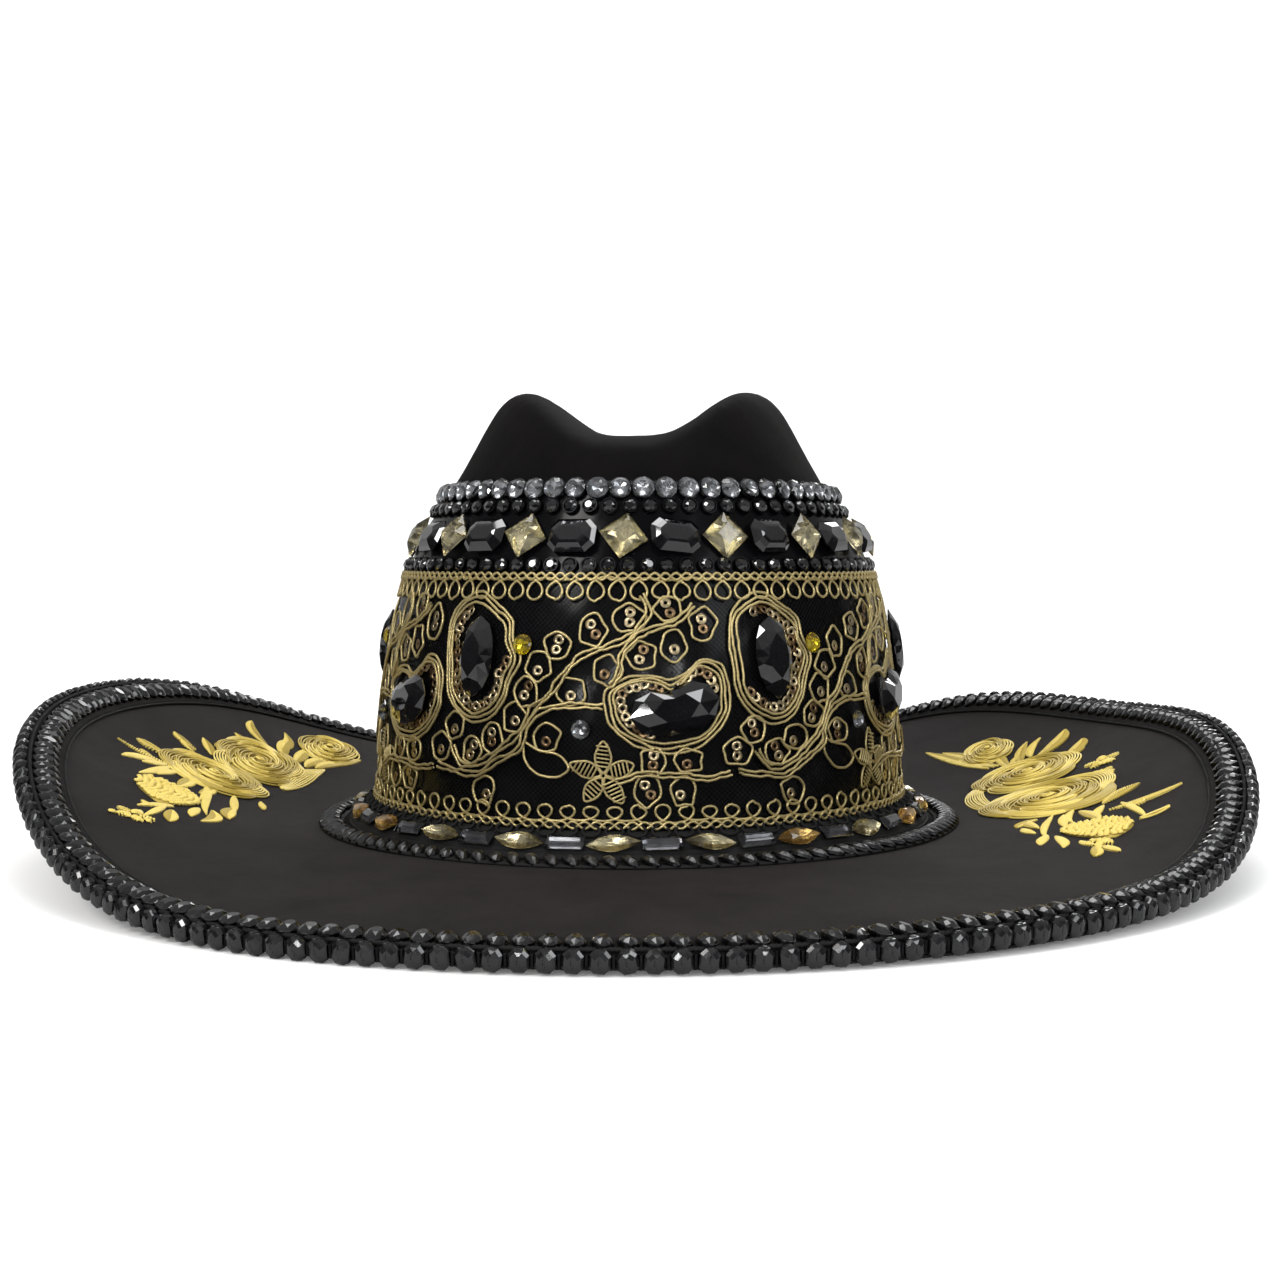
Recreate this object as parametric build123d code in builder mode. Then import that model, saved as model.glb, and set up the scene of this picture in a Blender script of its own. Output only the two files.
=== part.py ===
from build123d import *
import os
from math import atan2, cos, exp, pi, radians, sin

# Western felt hat (sombrero vaquero) with a jewelled crown band and a jewelled brim edge.
# Millimetres. Z is up, the front of the hat faces -Y, and the origin lies on the resting
# plane under the middle of the crown.
# "Around" positions are given as a fraction of a turn from the front (0 = front centre).
# "Out" distances are measured outward from the felt of the crown.

os.makedirs("parts", exist_ok=True)

# ---------------------------------------------------------------- driving dimensions
BRIM_SEAT_Z = 8.0             # top of the brim core where the crown stands
COVER_THICK = 0.8             # suede cover, above and below the core
CORE_THICK = 2.0              # stiffener between the covers
OPENING_A, OPENING_B = 84.6, 101.6      # half width and half length of the brim hole
FLAT_A, FLAT_B = 108.0, 124.0           # end of the flat seat around the crown
EDGE_A, EDGE_B = 194.0, 220.0           # half width and half length at the brim edge
EDGE_LOW_Z = 3.42             # height of the core's edge at the front and the back
# Rise of the edge around the hat: cosine terms 0 to 6 of the angle from the front. The sine
# terms 1 to 6 make the two sides differ, and fade out at the front and the back.
EDGE_WAVES = (17.1, -8.1, -17.7, 7.1, 1.4, 1.0, -0.8)
EDGE_SWAY = (0.2, -11.5, 13.1, -5.9, 6.9, -2.1)
ROLL_POWER = 1.6              # how late the roll starts between the seat and the edge

CROWN_Z = 8.95                # underside of the crown flange
FELT_WALL = 2.4
FLANGE_WIDTH, FLANGE_THICK = 12.0, 1.2
# Height above the crown base, half width and half length of the felt.
CROWN_LEVELS = (
    (0, 87.0, 104.0), (20, 86.0, 103.0), (45, 83.5, 101.0), (65, 81.0, 97.5),
    (80, 77.5, 93.0), (92, 73.0, 88.5), (103, 67.0, 84.5), (114, 60.0, 80.5),
    (125, 54.0, 77.0), (133, 49.5, 73.5), (139, 45.0, 69.0), (143, 39.0, 62.0),
    (145.5, 31.0, 50.0), (146.5, 21.0, 35.0), (147, 10.0, 17.0),
)
CREASE_START, CREASE_FULL = 103, 143        # heights between which the crease deepens
CREASE_DEPTH, CREASE_HALF_WIDTH, CREASE_SHARPNESS = 20.0, 27.0, 3.2

PATTERN_LENGTH = 560.0        # nominal length of the band pattern, six repeats
REPEATS = 6
PATTERN_STRETCH = 0.026       # how much closer the repeats sit at the front and back
BAND_IN, BAND_OUT = 0.15, 0.95          # patent band, out from the felt
NET_IN, NET_OUT = 1.05, 1.35            # tulle ground of the lace
LACE_OUT = 1.45               # back of everything sewn to the tulle
STONE_OUT = 1.10              # back of everything glued to the patent band
CORD_R = 0.55                 # couched gold cord
RAISED_CORD_OUT = 3.15        # centre of the cords that cross over the leaves

EPS = 0.01
RING_POINTS = 64


# ---------------------------------------------------------------- crown surface
def crown_axes(height):
    """Half width and half length of the felt at a height above the crown base."""
    levels = CROWN_LEVELS
    if height <= levels[0][0]:
        return levels[0][1:]
    i = max(k for k in range(len(levels) - 1) if levels[k][0] <= height)
    low, high = levels[i], levels[i + 1]
    before, after = levels[max(i - 1, 0)], levels[min(i + 2, len(levels) - 1)]
    span = high[0] - low[0]
    s = (height - low[0]) / span
    result = []
    for k in (1, 2):
        slope_low = (high[k] - before[k]) / (high[0] - before[0])
        slope_high = (after[k] - low[k]) / (after[0] - low[0])
        result.append(
            (2 * s**3 - 3 * s**2 + 1) * low[k] + (s**3 - 2 * s**2 + s) * span * slope_low
            + (3 * s**2 - 2 * s**3) * high[k] + (s**3 - s**2) * span * slope_high
        )
    return tuple(result)


def pattern_angle(around):
    """Ellipse angle of a place on the band, evened out around the oval."""
    return 2 * pi * around + PATTERN_STRETCH * sin(4 * pi * around)


def band_point(around, height, out):
    """A point on the crown wall, a distance out from the felt along its normal."""
    angle = pattern_angle(around)
    a, b = crown_axes(height)
    base = Vector(a * sin(angle), -b * cos(angle), CROWN_Z + height)
    return base + band_normal(around, height) * out


def band_normal(around, height):
    angle = pattern_angle(around)
    a, b = crown_axes(height)
    a_up, b_up = crown_axes(height + 1)
    lean = a * (b_up - b) * cos(angle) ** 2 + b * (a_up - a) * sin(angle) ** 2
    return Vector(b * sin(angle), -a * cos(angle), -lean).normalized()


def band_plane(around, height, out, turn=0.0):
    """Plane lying on the crown wall, its x axis running around the hat, then turned."""
    angle = pattern_angle(around)
    a, b = crown_axes(height)
    along = Vector(a * cos(angle), b * sin(angle), 0).normalized()
    normal = band_normal(around, height)
    x_dir = along.rotate(Axis((0, 0, 0), normal), turn)
    return Plane(origin=band_point(around, height, out), x_dir=x_dir, z_dir=normal)


def crown_section(step):
    """Height, half width and half length at a fractional step through CROWN_LEVELS."""
    last = len(CROWN_LEVELS) - 1
    i = min(int(step), last - 1)
    s = step - i
    p0, p1, p2, p3 = (CROWN_LEVELS[min(max(i + k, 0), last)] for k in (-1, 0, 1, 2))
    return tuple(
        0.5 * (2 * p1[k] + (p2[k] - p0[k]) * s + (2 * p0[k] - 5 * p1[k] + 4 * p2[k] - p3[k]) * s**2
               + (3 * p1[k] - p0[k] - 3 * p2[k] + p3[k]) * s**3)
        for k in range(3)
    )


def crown_ring(section, inward):
    """Closed curve around the crown, shrunk inward and lowered, with the crease pressed in."""
    height, a, b = section
    a, b = a - inward, b - inward
    fade = min(1.0, max(0.0, (height - CREASE_START) / (CREASE_FULL - CREASE_START)))
    points = []
    for i in range(RING_POINTS):
        angle = 2 * pi * i / RING_POINTS
        x, y = a * sin(angle), -b * cos(angle)
        press = CREASE_DEPTH * fade * exp(-((abs(x) / CREASE_HALF_WIDTH) ** CREASE_SHARPNESS))
        points.append((x, y, CROWN_Z + height - press - inward * fade))
    return Wire([Edge.make_spline(points, periodic=True)])


def crown_body(inward, start=0.0):
    """Solid filled crown, shrunk inward all round: two of these make a wall."""
    crease_step = [level[0] for level in CROWN_LEVELS].index(CREASE_START)
    wall = [(start, *crown_axes(start))]
    wall += [level for level in CROWN_LEVELS[: crease_step + 1] if level[0] > start]
    steps = [crease_step + i / 2 for i in range(2 * (len(CROWN_LEVELS) - 1 - crease_step) + 1)]
    cap = [crown_ring(crown_section(step), inward) for step in steps]
    apex = Vertex(0, 0, CROWN_Z + CROWN_LEVELS[-1][0] - CREASE_DEPTH - inward)
    with BuildPart() as body:
        add(Solid.make_loft([crown_ring(section, inward) for section in wall]))
        add(Solid.make_loft(cap + [apex], ruled=True))
    return body.part


def sleeve(low, high, inner_out, outer_out, steps=5):
    """Oval sleeve that follows the crown wall between two heights."""
    with BuildPart() as tube:
        for i in range(steps):
            height = low + (high - low) * i / (steps - 1)
            a, b = crown_axes(height)
            with BuildSketch(Plane.XY.offset(CROWN_Z + height)):
                Ellipse(a + outer_out, b + outer_out)
                Ellipse(a + inner_out, b + inner_out, mode=Mode.SUBTRACT)
        loft()
    return tube.part


# ---------------------------------------------------------------- brim surface
def edge_height(angle):
    waves = sum(c * cos(k * angle) for k, c in enumerate(EDGE_WAVES))
    sway = sum(c * sin((k + 1) * angle) for k, c in enumerate(EDGE_SWAY))
    return EDGE_LOW_Z + waves + sway * sin(angle) ** 2


def brim_point(angle, t, lift=0.0):
    """Point on the brim: t is 0 at the opening and 1 at the edge of the core."""
    a = OPENING_A + (EDGE_A - OPENING_A) * t
    b = OPENING_B + (EDGE_B - OPENING_B) * t
    flat_t = (FLAT_A - OPENING_A) / (EDGE_A - OPENING_A)
    s = max(0.0, (t - flat_t) / (1 - flat_t))
    z = BRIM_SEAT_Z + (edge_height(angle) - BRIM_SEAT_Z) * s**ROLL_POWER
    return Vector(a * sin(angle), -b * cos(angle), z + lift)


def brim_ring(t, lift):
    points = [brim_point(2 * pi * i / RING_POINTS, t, lift) for i in range(RING_POINTS)]
    return Wire([Edge.make_spline(points, periodic=True)])


def brim_sheet(lift, thick, stations=9):
    """Brim shaped sheet: its underside is lifted above the core's top by lift."""
    rings = [brim_ring(i / (stations - 1), lift) for i in range(stations)]
    face = Shell.make_loft(rings).faces()[0]
    return extrude(face, amount=thick, dir=(0, 0, 1), mode=Mode.PRIVATE)


def edge_t(inset):
    """Position t of a line that runs a distance inside the core's edge."""
    return 1 - inset / (EDGE_A - OPENING_A)


def edge_tube(profile):
    """Closed ring whose cross section is a polygon of (inset from the edge, lift)."""
    rings = [brim_ring(edge_t(inset), lift) for inset, lift in profile]
    return Solid(Shell(Shell.make_loft(rings + [rings[0]], ruled=True).faces()))


def brim_plane(angle, t, lift, turn=0.0):
    """Plane lying on the brim, its x axis running around the hat, then turned."""
    here = brim_point(angle, t)
    along = (brim_point(angle + EPS, t) - brim_point(angle - EPS, t)).normalized()
    across = (brim_point(angle, t + EPS) - brim_point(angle, t - EPS)).normalized()
    normal = along.cross(across).normalized()
    if normal.Z < 0:
        normal = normal * -1
    x_dir = along.rotate(Axis((0, 0, 0), normal), turn)
    return Plane(origin=here + normal * lift, x_dir=x_dir, z_dir=normal)


def brim_angles(count, t):
    """Angles that space a row evenly along the brim."""
    fine = 1440
    points = [brim_point(2 * pi * i / fine, t) for i in range(fine + 1)]
    run = [0.0]
    for i in range(fine):
        run.append(run[-1] + (points[i + 1] - points[i]).length)
    angles, j = [], 0
    for i in range(count):
        target = run[-1] * i / count
        while run[j + 1] < target:
            j += 1
        share = (target - run[j]) / (run[j + 1] - run[j])
        angles.append(2 * pi * (j + share) / fine)
    return angles


# ---------------------------------------------------------------- stones and small pieces
def faceted(outline, girdle, rise, slope):
    """Flat backed stone: an upright girdle, then a tapered crown up to a flat table."""
    with BuildPart() as stone:
        add(outline)
        extrude(amount=girdle)
        extrude(stone.faces().sort_by(Axis.Z)[-1], amount=rise, taper=slope)
    return stone.part


def round_stone(diameter, girdle, rise, table):
    with BuildPart() as stone:
        with BuildSketch(Plane.XZ):
            with BuildLine():
                Polyline(
                    (0, 0), (diameter / 2, 0), (diameter / 2, girdle),
                    (table / 2, girdle + rise), (0, girdle + rise), close=True,
                )
            make_face()
        revolve(axis=Axis.Z)
    return stone.part


def set_row(stone, planes):
    """Copies of one stone on many planes, as one group of separate solids."""
    with BuildPart() as row:
        with Locations(*planes):
            add(stone, clean=False)
    return row.part


def cord(points, radius=CORD_R):
    """Round cord through points."""
    with BuildPart() as strand:
        with BuildLine() as path:
            Spline(*points)
        with BuildSketch(path.line ^ 0):
            Circle(radius)
        sweep()
    return strand.part


def merge(pieces):
    with BuildPart() as group:
        add(pieces, clean=False)
    return group.part


def save(part, name):
    part.label = name
    export_step(part, f"parts/{name}.step")


# ---------------------------------------------------------------- crown
def make_crown_shell():
    """Felt crown with its creased top and the flange that lies on the brim."""
    with BuildPart() as crown:
        add(crown_body(0))
        with BuildSketch(Plane.XY.offset(CROWN_Z)):
            Ellipse(CROWN_LEVELS[0][1] + FLANGE_WIDTH, CROWN_LEVELS[0][2] + FLANGE_WIDTH)
        extrude(amount=FLANGE_THICK)
        add(crown_body(FELT_WALL, start=-3.0), mode=Mode.SUBTRACT)
    save(crown.part, "crown_shell")


LINING_GAP, LINING_THICK = 0.3, 0.6
LINING_SEAM = 88.0            # height where the side lining meets the tip


def make_lining():
    inner = FELT_WALL + LINING_GAP
    with BuildPart() as side:
        add(sleeve(BAND_LEATHER_HIGH + 0.5, LINING_SEAM - 0.5, -(inner + LINING_THICK), -inner, 6))
    save(side.part, "lining_side")
    with BuildPart() as tip:
        add(crown_body(inner, start=LINING_SEAM))
        add(crown_body(inner + LINING_THICK, start=LINING_SEAM - 2), mode=Mode.SUBTRACT)
    save(tip.part, "lining_tip")


BAND_LEATHER_GAP = FELT_WALL + 0.9
BAND_LEATHER_THICK = 1.2
BAND_LEATHER_LOW, BAND_LEATHER_HIGH = -3.0, 36.0
REED_DIAMETER = 2.0


def make_sweatband():
    with BuildPart() as band:
        add(sleeve(BAND_LEATHER_LOW, BAND_LEATHER_HIGH,
                   -(BAND_LEATHER_GAP + BAND_LEATHER_THICK), -BAND_LEATHER_GAP))
    save(band.part, "sweatband")

    # The reed is the stiff round edge sewn under the sweatband's lower edge.
    mid = BAND_LEATHER_GAP + BAND_LEATHER_THICK / 2
    a, b = CROWN_LEVELS[0][1] - mid, CROWN_LEVELS[0][2] - mid
    with BuildPart() as reed:
        z = CROWN_Z + BAND_LEATHER_LOW - 0.1 - REED_DIAMETER
        with BuildSketch(Plane.XY.offset(z)):
            Ellipse(a + REED_DIAMETER / 2, b + REED_DIAMETER / 2)
            Ellipse(a - REED_DIAMETER / 2, b - REED_DIAMETER / 2, mode=Mode.SUBTRACT)
        extrude(amount=REED_DIAMETER)
        chamfer(reed.edges(), 0.55)
    save(reed.part, "sweatband_reed")


BOW_HEIGHT = 14.0
BOW_LOOP = (2.2, 1.6, 11.0, 4.5)      # near and far ends of a loop: distance, half height
BOW_THICK = 1.8
BOW_KNOT = (3.8, 4.6, 2.4)


def make_bow():
    """Small ribbon bow over the seam of the sweatband, inside at the back."""
    place = band_plane(0.5, BOW_HEIGHT, -(BAND_LEATHER_GAP + BAND_LEATHER_THICK + 0.35))
    face_in = Plane(origin=place.origin, x_dir=place.x_dir * -1, z_dir=place.z_dir * -1)
    with BuildPart() as bow:
        with BuildSketch(face_in):
            near, near_half, far, far_half = BOW_LOOP
            for side in (-1, 1):
                with BuildLine():
                    Polyline((side * near, -near_half), (side * far, -far_half),
                             (side * far, far_half), (side * near, near_half), close=True)
                make_face()
        extrude(amount=BOW_THICK)
        with BuildSketch(face_in):
            Rectangle(BOW_KNOT[0], BOW_KNOT[1])
        extrude(amount=BOW_KNOT[2])
    save(bow.part, "sweatband_bow")


# ---------------------------------------------------------------- brim
def make_brim():
    with BuildPart() as core:
        add(brim_sheet(-CORE_THICK, CORE_THICK - 0.02))
    save(core.part, "brim_core")
    with BuildPart() as top:
        add(brim_sheet(0.03, COVER_THICK - 0.03))
    save(top.part, "brim_top_cover")
    with BuildPart() as under:
        add(brim_sheet(-CORE_THICK - COVER_THICK, COVER_THICK - 0.03))
    save(under.part, "brim_under_cover")


BINDING_LAP, BINDING_THICK, BINDING_GAP = 8.0, 1.0, 0.12
BINDING_NOSE = 2.5            # how far the inside of the binding passes the core's edge
WIRE_R, WIRE_GAP = 1.0, 0.2   # wire in the nose, and its distance from the core


def make_edge():
    top_in = COVER_THICK + BINDING_GAP
    low_in = -CORE_THICK - COVER_THICK - BINDING_GAP
    nose_in, nose_out = -BINDING_NOSE, -BINDING_NOSE - BINDING_THICK
    profile = [
        (BINDING_LAP, top_in), (nose_in, top_in), (nose_in, low_in), (BINDING_LAP, low_in),
        (BINDING_LAP, low_in - BINDING_THICK), (nose_out, low_in - BINDING_THICK),
        (nose_out, top_in + BINDING_THICK), (BINDING_LAP, top_in + BINDING_THICK),
    ]
    with BuildPart() as binding:
        add(edge_tube(profile))
        # The lowest parts are flattened where the hat rests, at the front and the back.
        Box(3 * EDGE_A, 3 * EDGE_B, 20, align=(Align.CENTER, Align.CENTER, Align.MAX),
            mode=Mode.SUBTRACT)
    save(binding.part, "brim_edge_binding")

    corners = [pi * (k + 0.5) / 4 for k in range(8)]
    octagon = [
        (WIRE_R * (cos(c) - 1) - WIRE_GAP, WIRE_R * sin(c) - CORE_THICK / 2) for c in corners
    ]
    with BuildPart() as wire:
        add(edge_tube(octagon))
    save(wire.part, "brim_edge_wire")


EDGE_BEADS = 212
UPPER_BEAD = (5.1, 7.4)       # along and across the edge
OUTER_BEAD = (5.4, 5.0)


def make_edge_beads():
    lap_top = COVER_THICK + BINDING_GAP + BINDING_THICK
    with BuildSketch() as oval:
        SlotOverall(UPPER_BEAD[1], UPPER_BEAD[0], rotation=90)
    upper = faceted(oval.sketch, 0.9, 1.1, 30)
    t = edge_t(1.4)
    planes = [brim_plane(angle, t, lap_top + 0.12) for angle in brim_angles(EDGE_BEADS, t)]
    save(set_row(upper, planes), "edge_bead_row_upper")

    with BuildSketch() as square:
        Rectangle(OUTER_BEAD[0], OUTER_BEAD[1])
    outer = faceted(square.sketch, 1.2, 1.4, 28)
    t = edge_t(-BINDING_NOSE - BINDING_THICK - 0.12)
    planes = []
    for angle in brim_angles(EDGE_BEADS, t):
        here = brim_point(angle, t, -CORE_THICK / 2 + 0.45)
        along = (brim_point(angle + EPS, t) - brim_point(angle - EPS, t)).normalized()
        planes.append(Plane(origin=here, x_dir=along, z_dir=along.cross(Vector(0, 0, 1))))
    save(set_row(outer, planes), "edge_bead_row_outer")


# ---------------------------------------------------------------- crown band
BAND_LOW, BAND_HIGH = 8.2, 111.0
NET_LOW, NET_HIGH = 10.0, 82.5


def make_band():
    save(sleeve(BAND_LOW, BAND_HIGH, BAND_IN, BAND_OUT, 9), "band_backing")
    save(sleeve(NET_LOW, NET_HIGH, NET_IN, NET_OUT, 7), "lace_ground")


def row_planes(count, height, out, shift=0.0, turn=0.0):
    return [band_plane((i + shift) / count, height, out, turn) for i in range(count)]


CLEAR_ROW = (64, 107.6, 6.7)          # count, height, diameter
BLACK_UPPER_ROW = (76, 102.4, 4.7)
BLACK_MIDDLE_ROW = (88, 84.8, 4.7)
JEWEL_COUNT, JEWEL_HEIGHT = 16, 93.2  # squares and octagons, each
SQUARE_SIDE, SQUARE_SHIFT = 10.4, 0.045
OCTAGON = (15.2, 10.6, 2.6)           # length, height, cut corner


def make_crown_rows():
    count, height, size = CLEAR_ROW
    clear = round_stone(size, 0.9, 1.9, size * 0.52)
    save(set_row(clear, row_planes(count, height, STONE_OUT)), "clear_rhinestone_row")

    for name, row in (("black_bead_row_upper", BLACK_UPPER_ROW),
                      ("black_bead_row_middle", BLACK_MIDDLE_ROW)):
        count, height, size = row
        bead = round_stone(size, 0.7, 1.3, size * 0.5)
        save(set_row(bead, row_planes(count, height, STONE_OUT, 0.5)), name)

    with BuildSketch() as square:
        Rectangle(SQUARE_SIDE, SQUARE_SIDE, rotation=45)
    jewel = faceted(square.sketch, 0.9, 2.6, 38)
    planes = row_planes(JEWEL_COUNT, JEWEL_HEIGHT, STONE_OUT + 0.1, SQUARE_SHIFT)
    save(set_row(jewel, planes), "champagne_square_jewels")

    with BuildSketch() as octagon:
        Rectangle(OCTAGON[0], OCTAGON[1])
        chamfer(octagon.vertices(), OCTAGON[2])
    jewel = faceted(octagon.sketch, 0.9, 2.2, 40)
    planes = row_planes(JEWEL_COUNT, JEWEL_HEIGHT, STONE_OUT + 0.1, SQUARE_SHIFT + 0.5)
    save(set_row(jewel, planes), "black_octagon_jewels")


# One repeat of the lace, in nominal millimetres along the band from the front centre and
# millimetres above the crown base.
OVAL_AT = (48.5, 57.5)
KIDNEY_AT = (17.0, 43.5)
OVAL_STONE = (6.4, 12.4)              # half width, half height
KIDNEY_STONE = (13.0, 7.0)
KIDNEY_TURN = 10.0
OVAL_FRAME = (
    (47, 76.5), (54, 73), (59.5, 69), (60.5, 63.5), (63.5, 57.5), (60.5, 51), (59, 45.5),
    (54.5, 40.5), (48, 38.5), (41, 41.5), (36.5, 47.5), (35.5, 55), (34.5, 62), (35.5, 70),
    (40.5, 75),
)
KIDNEY_FRAME = (
    (-2.5, 48.5), (4, 52.5), (10.5, 53), (16, 51.5), (21, 54), (25.5, 57.5), (30.5, 56),
    (33, 52), (33.5, 46.5), (33, 42), (28, 35), (20.5, 31.5), (12, 31.3), (5, 33.5),
    (-0.5, 38), (-2.5, 43),
)
FRAME_INSETS = (0.0, 1.35, 2.7)       # three parallel cords
LEAVES = (                            # along, height, radius, turn
    (-30.5, 40.5, 3.9, 10), (-27, 48, 4.0, 30), (-23.5, 55.3, 4.0, 50), (-17.8, 61.5, 3.9, 15),
    (-7, 66, 4.1, 0), (4, 69.5, 4.2, 20), (15.5, 72.2, 3.6, 40), (26, 67.5, 4.4, 10),
    (16.8, 61.6, 4.0, 60), (7.5, 58.8, 3.9, 30), (-2.8, 54.5, 3.9, 0), (-13, 48.2, 4.0, 45),
    (-20, 34.8, 3.9, 20), (-52.5, 37, 3.7, 30), (-38, 34, 3.9, 60), (-45, 30, 3.6, 0),
    (-40, 18.6, 3.8, 10), (10.8, 28.3, 3.6, 0), (20.8, 28.5, 3.6, 30), (9.2, 19.8, 3.8, 50),
    (19.2, 19.6, 3.8, 20),
)
BRANCHES = (                          # cords that run from the lower left to the upper right
    ((-58, 25), (-50, 23.6), (-42, 23.4), (-35, 27.5), (-28, 31.5), (-26.5, 37), (-22, 42.2),
     (-14, 44.2), (-5.5, 44.2)),
    ((-52, 31), (-48, 25.8), (-41, 26.8), (-34, 31.3), (-28, 36.5), (-24, 43.5), (-19.5, 47),
     (-15, 53.5), (-9, 59), (-1, 61.6), (5.5, 65.5), (9.5, 71), (7.5, 76)),
    ((-1.5, 50), (1.2, 54), (1.8, 59), (6, 64), (12, 66.5), (17, 68), (20.5, 70.3), (23, 73)),
    ((0.5, 22.5), (6.5, 24.5), (13, 24.6), (20, 24), (27, 23.3), (33, 24.5)),
)
STAR_AT = (-4.0, 24.5)
STAR_PETALS, STAR_REACH = 5, 9.2
YELLOW_AT, YELLOW_SIZE = (-29.0, 61.5), 6.2
SMALL_CLEAR_AT, SMALL_CLEAR_SIZE = (-10.0, 37.5), 5.6
CELL = PATTERN_LENGTH / REPEATS


def cell_shifts():
    return [i * CELL for i in range(REPEATS)]


def lace_point(along, height, out):
    return band_point(along / PATTERN_LENGTH, height, out)


def lace_plane(along, height, out, turn=0.0):
    return band_plane(along / PATTERN_LENGTH, height, out, turn)


def inset_outline(outline, inset):
    """The closed outline, drawn in towards its middle."""
    middle_u = sum(p[0] for p in outline) / len(outline)
    middle_h = sum(p[1] for p in outline) / len(outline)
    result = []
    for u, h in outline:
        du, dh = u - middle_u, h - middle_h
        keep = 1 - inset / (du**2 + dh**2) ** 0.5
        result.append((middle_u + du * keep, middle_h + dh * keep))
    return result


def closed_cord(outline, inset, shift):
    """Closed cord of square section along an outline, lying on the tulle."""
    rings = []
    for side, lift in ((-1, 0), (1, 0), (1, 2), (-1, 2)):
        points = [
            lace_point(u + shift, h, LACE_OUT + lift * CORD_R)
            for u, h in inset_outline(outline, inset + side * CORD_R)
        ]
        rings.append(Wire([Edge.make_spline(points, periodic=True)]))
    return Solid(Shell(Shell.make_loft(rings + [rings[0]], ruled=True).faces()))


def make_lace_cords():
    frames = []
    for shift in cell_shifts():
        for outline in (OVAL_FRAME, KIDNEY_FRAME):
            for inset in FRAME_INSETS:
                frames.append(closed_cord(outline, inset, shift))
    save(merge(frames), "cabochon_frames")

    strands = []
    for shift in cell_shifts():
        for branch in BRANCHES:
            strands.append(cord([lace_point(u + shift, h, RAISED_CORD_OUT) for u, h in branch]))
    save(merge(strands), "gold_branch_cords")


def make_leaves():
    loops, sequins = [], []
    for along, height, radius, turn in LEAVES:
        with BuildSketch() as outline:
            RegularPolygon(radius, 5)
            RegularPolygon(radius - 1.1, 5, mode=Mode.SUBTRACT)
        with BuildPart() as loop:
            add(outline.sketch)
            extrude(amount=0.9)
        planes = [lace_plane(along + shift, height, LACE_OUT, turn) for shift in cell_shifts()]
        loops.append(set_row(loop.part, planes))
    save(merge(loops), "gold_leaf_loops")

    with BuildPart() as sequin:
        with BuildSketch():
            Circle(1.7)
            Circle(0.5, mode=Mode.SUBTRACT)
        extrude(amount=0.3)
    planes = [
        lace_plane(along + shift, height, LACE_OUT)
        for along, height, radius, turn in LEAVES
        for shift in cell_shifts()
    ]
    save(set_row(sequin.part, planes), "gold_sequins")


def make_stars():
    with BuildPart() as star:
        with BuildSketch():
            with PolarLocations(STAR_REACH * 0.56, STAR_PETALS, start_angle=90):
                Ellipse(STAR_REACH * 0.42, 2.1)
        extrude(amount=0.9)
    planes = [lace_plane(STAR_AT[0] + s, STAR_AT[1], LACE_OUT) for s in cell_shifts()]
    save(set_row(star.part, planes), "gold_star_flowers")


def make_lace_stones():
    """Large cabochon stones, their backs hollowed to the curve of the band."""
    ground = sleeve(NET_LOW, NET_HIGH, -20, LACE_OUT, 7)
    kinds = (
        ("black_oval_stones", OVAL_AT, OVAL_STONE, 0.0),
        ("black_kidney_stones", KIDNEY_AT, KIDNEY_STONE, KIDNEY_TURN),
    )
    for name, place, size, turn in kinds:
        with BuildSketch() as outline:
            Ellipse(*size)
        stone = faceted(outline.sketch, 2.4, 2.4, 38)
        with BuildPart() as row:
            with Locations(*[
                lace_plane(place[0] + shift, place[1], LACE_OUT - 0.9, turn)
                for shift in cell_shifts()
            ]):
                add(stone)
            add(ground, mode=Mode.SUBTRACT)
        save(row.part, name)

    for name, place, size in (("yellow_rhinestones", YELLOW_AT, YELLOW_SIZE),
                              ("clear_lace_rhinestones", SMALL_CLEAR_AT, SMALL_CLEAR_SIZE)):
        gem = round_stone(size, 0.8, 1.8, size * 0.52)
        planes = [lace_plane(place[0] + s, place[1], LACE_OUT) for s in cell_shifts()]
        save(set_row(gem, planes), name)


LOOP_COUNT = 84


def loop_row(width, tall, height, thick=1.0):
    """Row of small thread loops standing side by side around the band."""
    with BuildSketch() as outline:
        Ellipse(width / 2, tall / 2)
        Ellipse(width / 2 - 1.0, tall / 2 - 1.0, mode=Mode.SUBTRACT)
    with BuildPart() as loop:
        add(outline.sketch)
        extrude(amount=thick)
    return set_row(loop.part, row_planes(LOOP_COUNT, height, LACE_OUT))


def make_braids():
    save(merge([loop_row(5.2, 5.2, 77.2), sleeve(80.8, 82.2, LACE_OUT, LACE_OUT + 1.1, 3)]),
         "gold_loop_braid_upper")
    save(merge([loop_row(4.4, 5.2, 14.0), sleeve(9.4, 10.6, 1.05, LACE_OUT + 1.1, 3)]),
         "gold_loop_braid_lower")


# ---------------------------------------------------------------- trim at the foot of the crown
GIMP_LOW_OUT, GIMP_HIGH_OUT = 9.5, 2.0     # how far the padded gimp reaches, foot and top
GIMP_TALL = 6.6
BASE_JEWELS = 21
NAVETTE_ARC, NAVETTE_HALF = 13.2, 2.9      # radius of each side's arc, and half the width
BAGUETTE = (11.4, 4.6)
BASE_BEADS, BASE_BEAD_OUT = 120, 16.4      # row on the tape, outward from the crown


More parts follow.
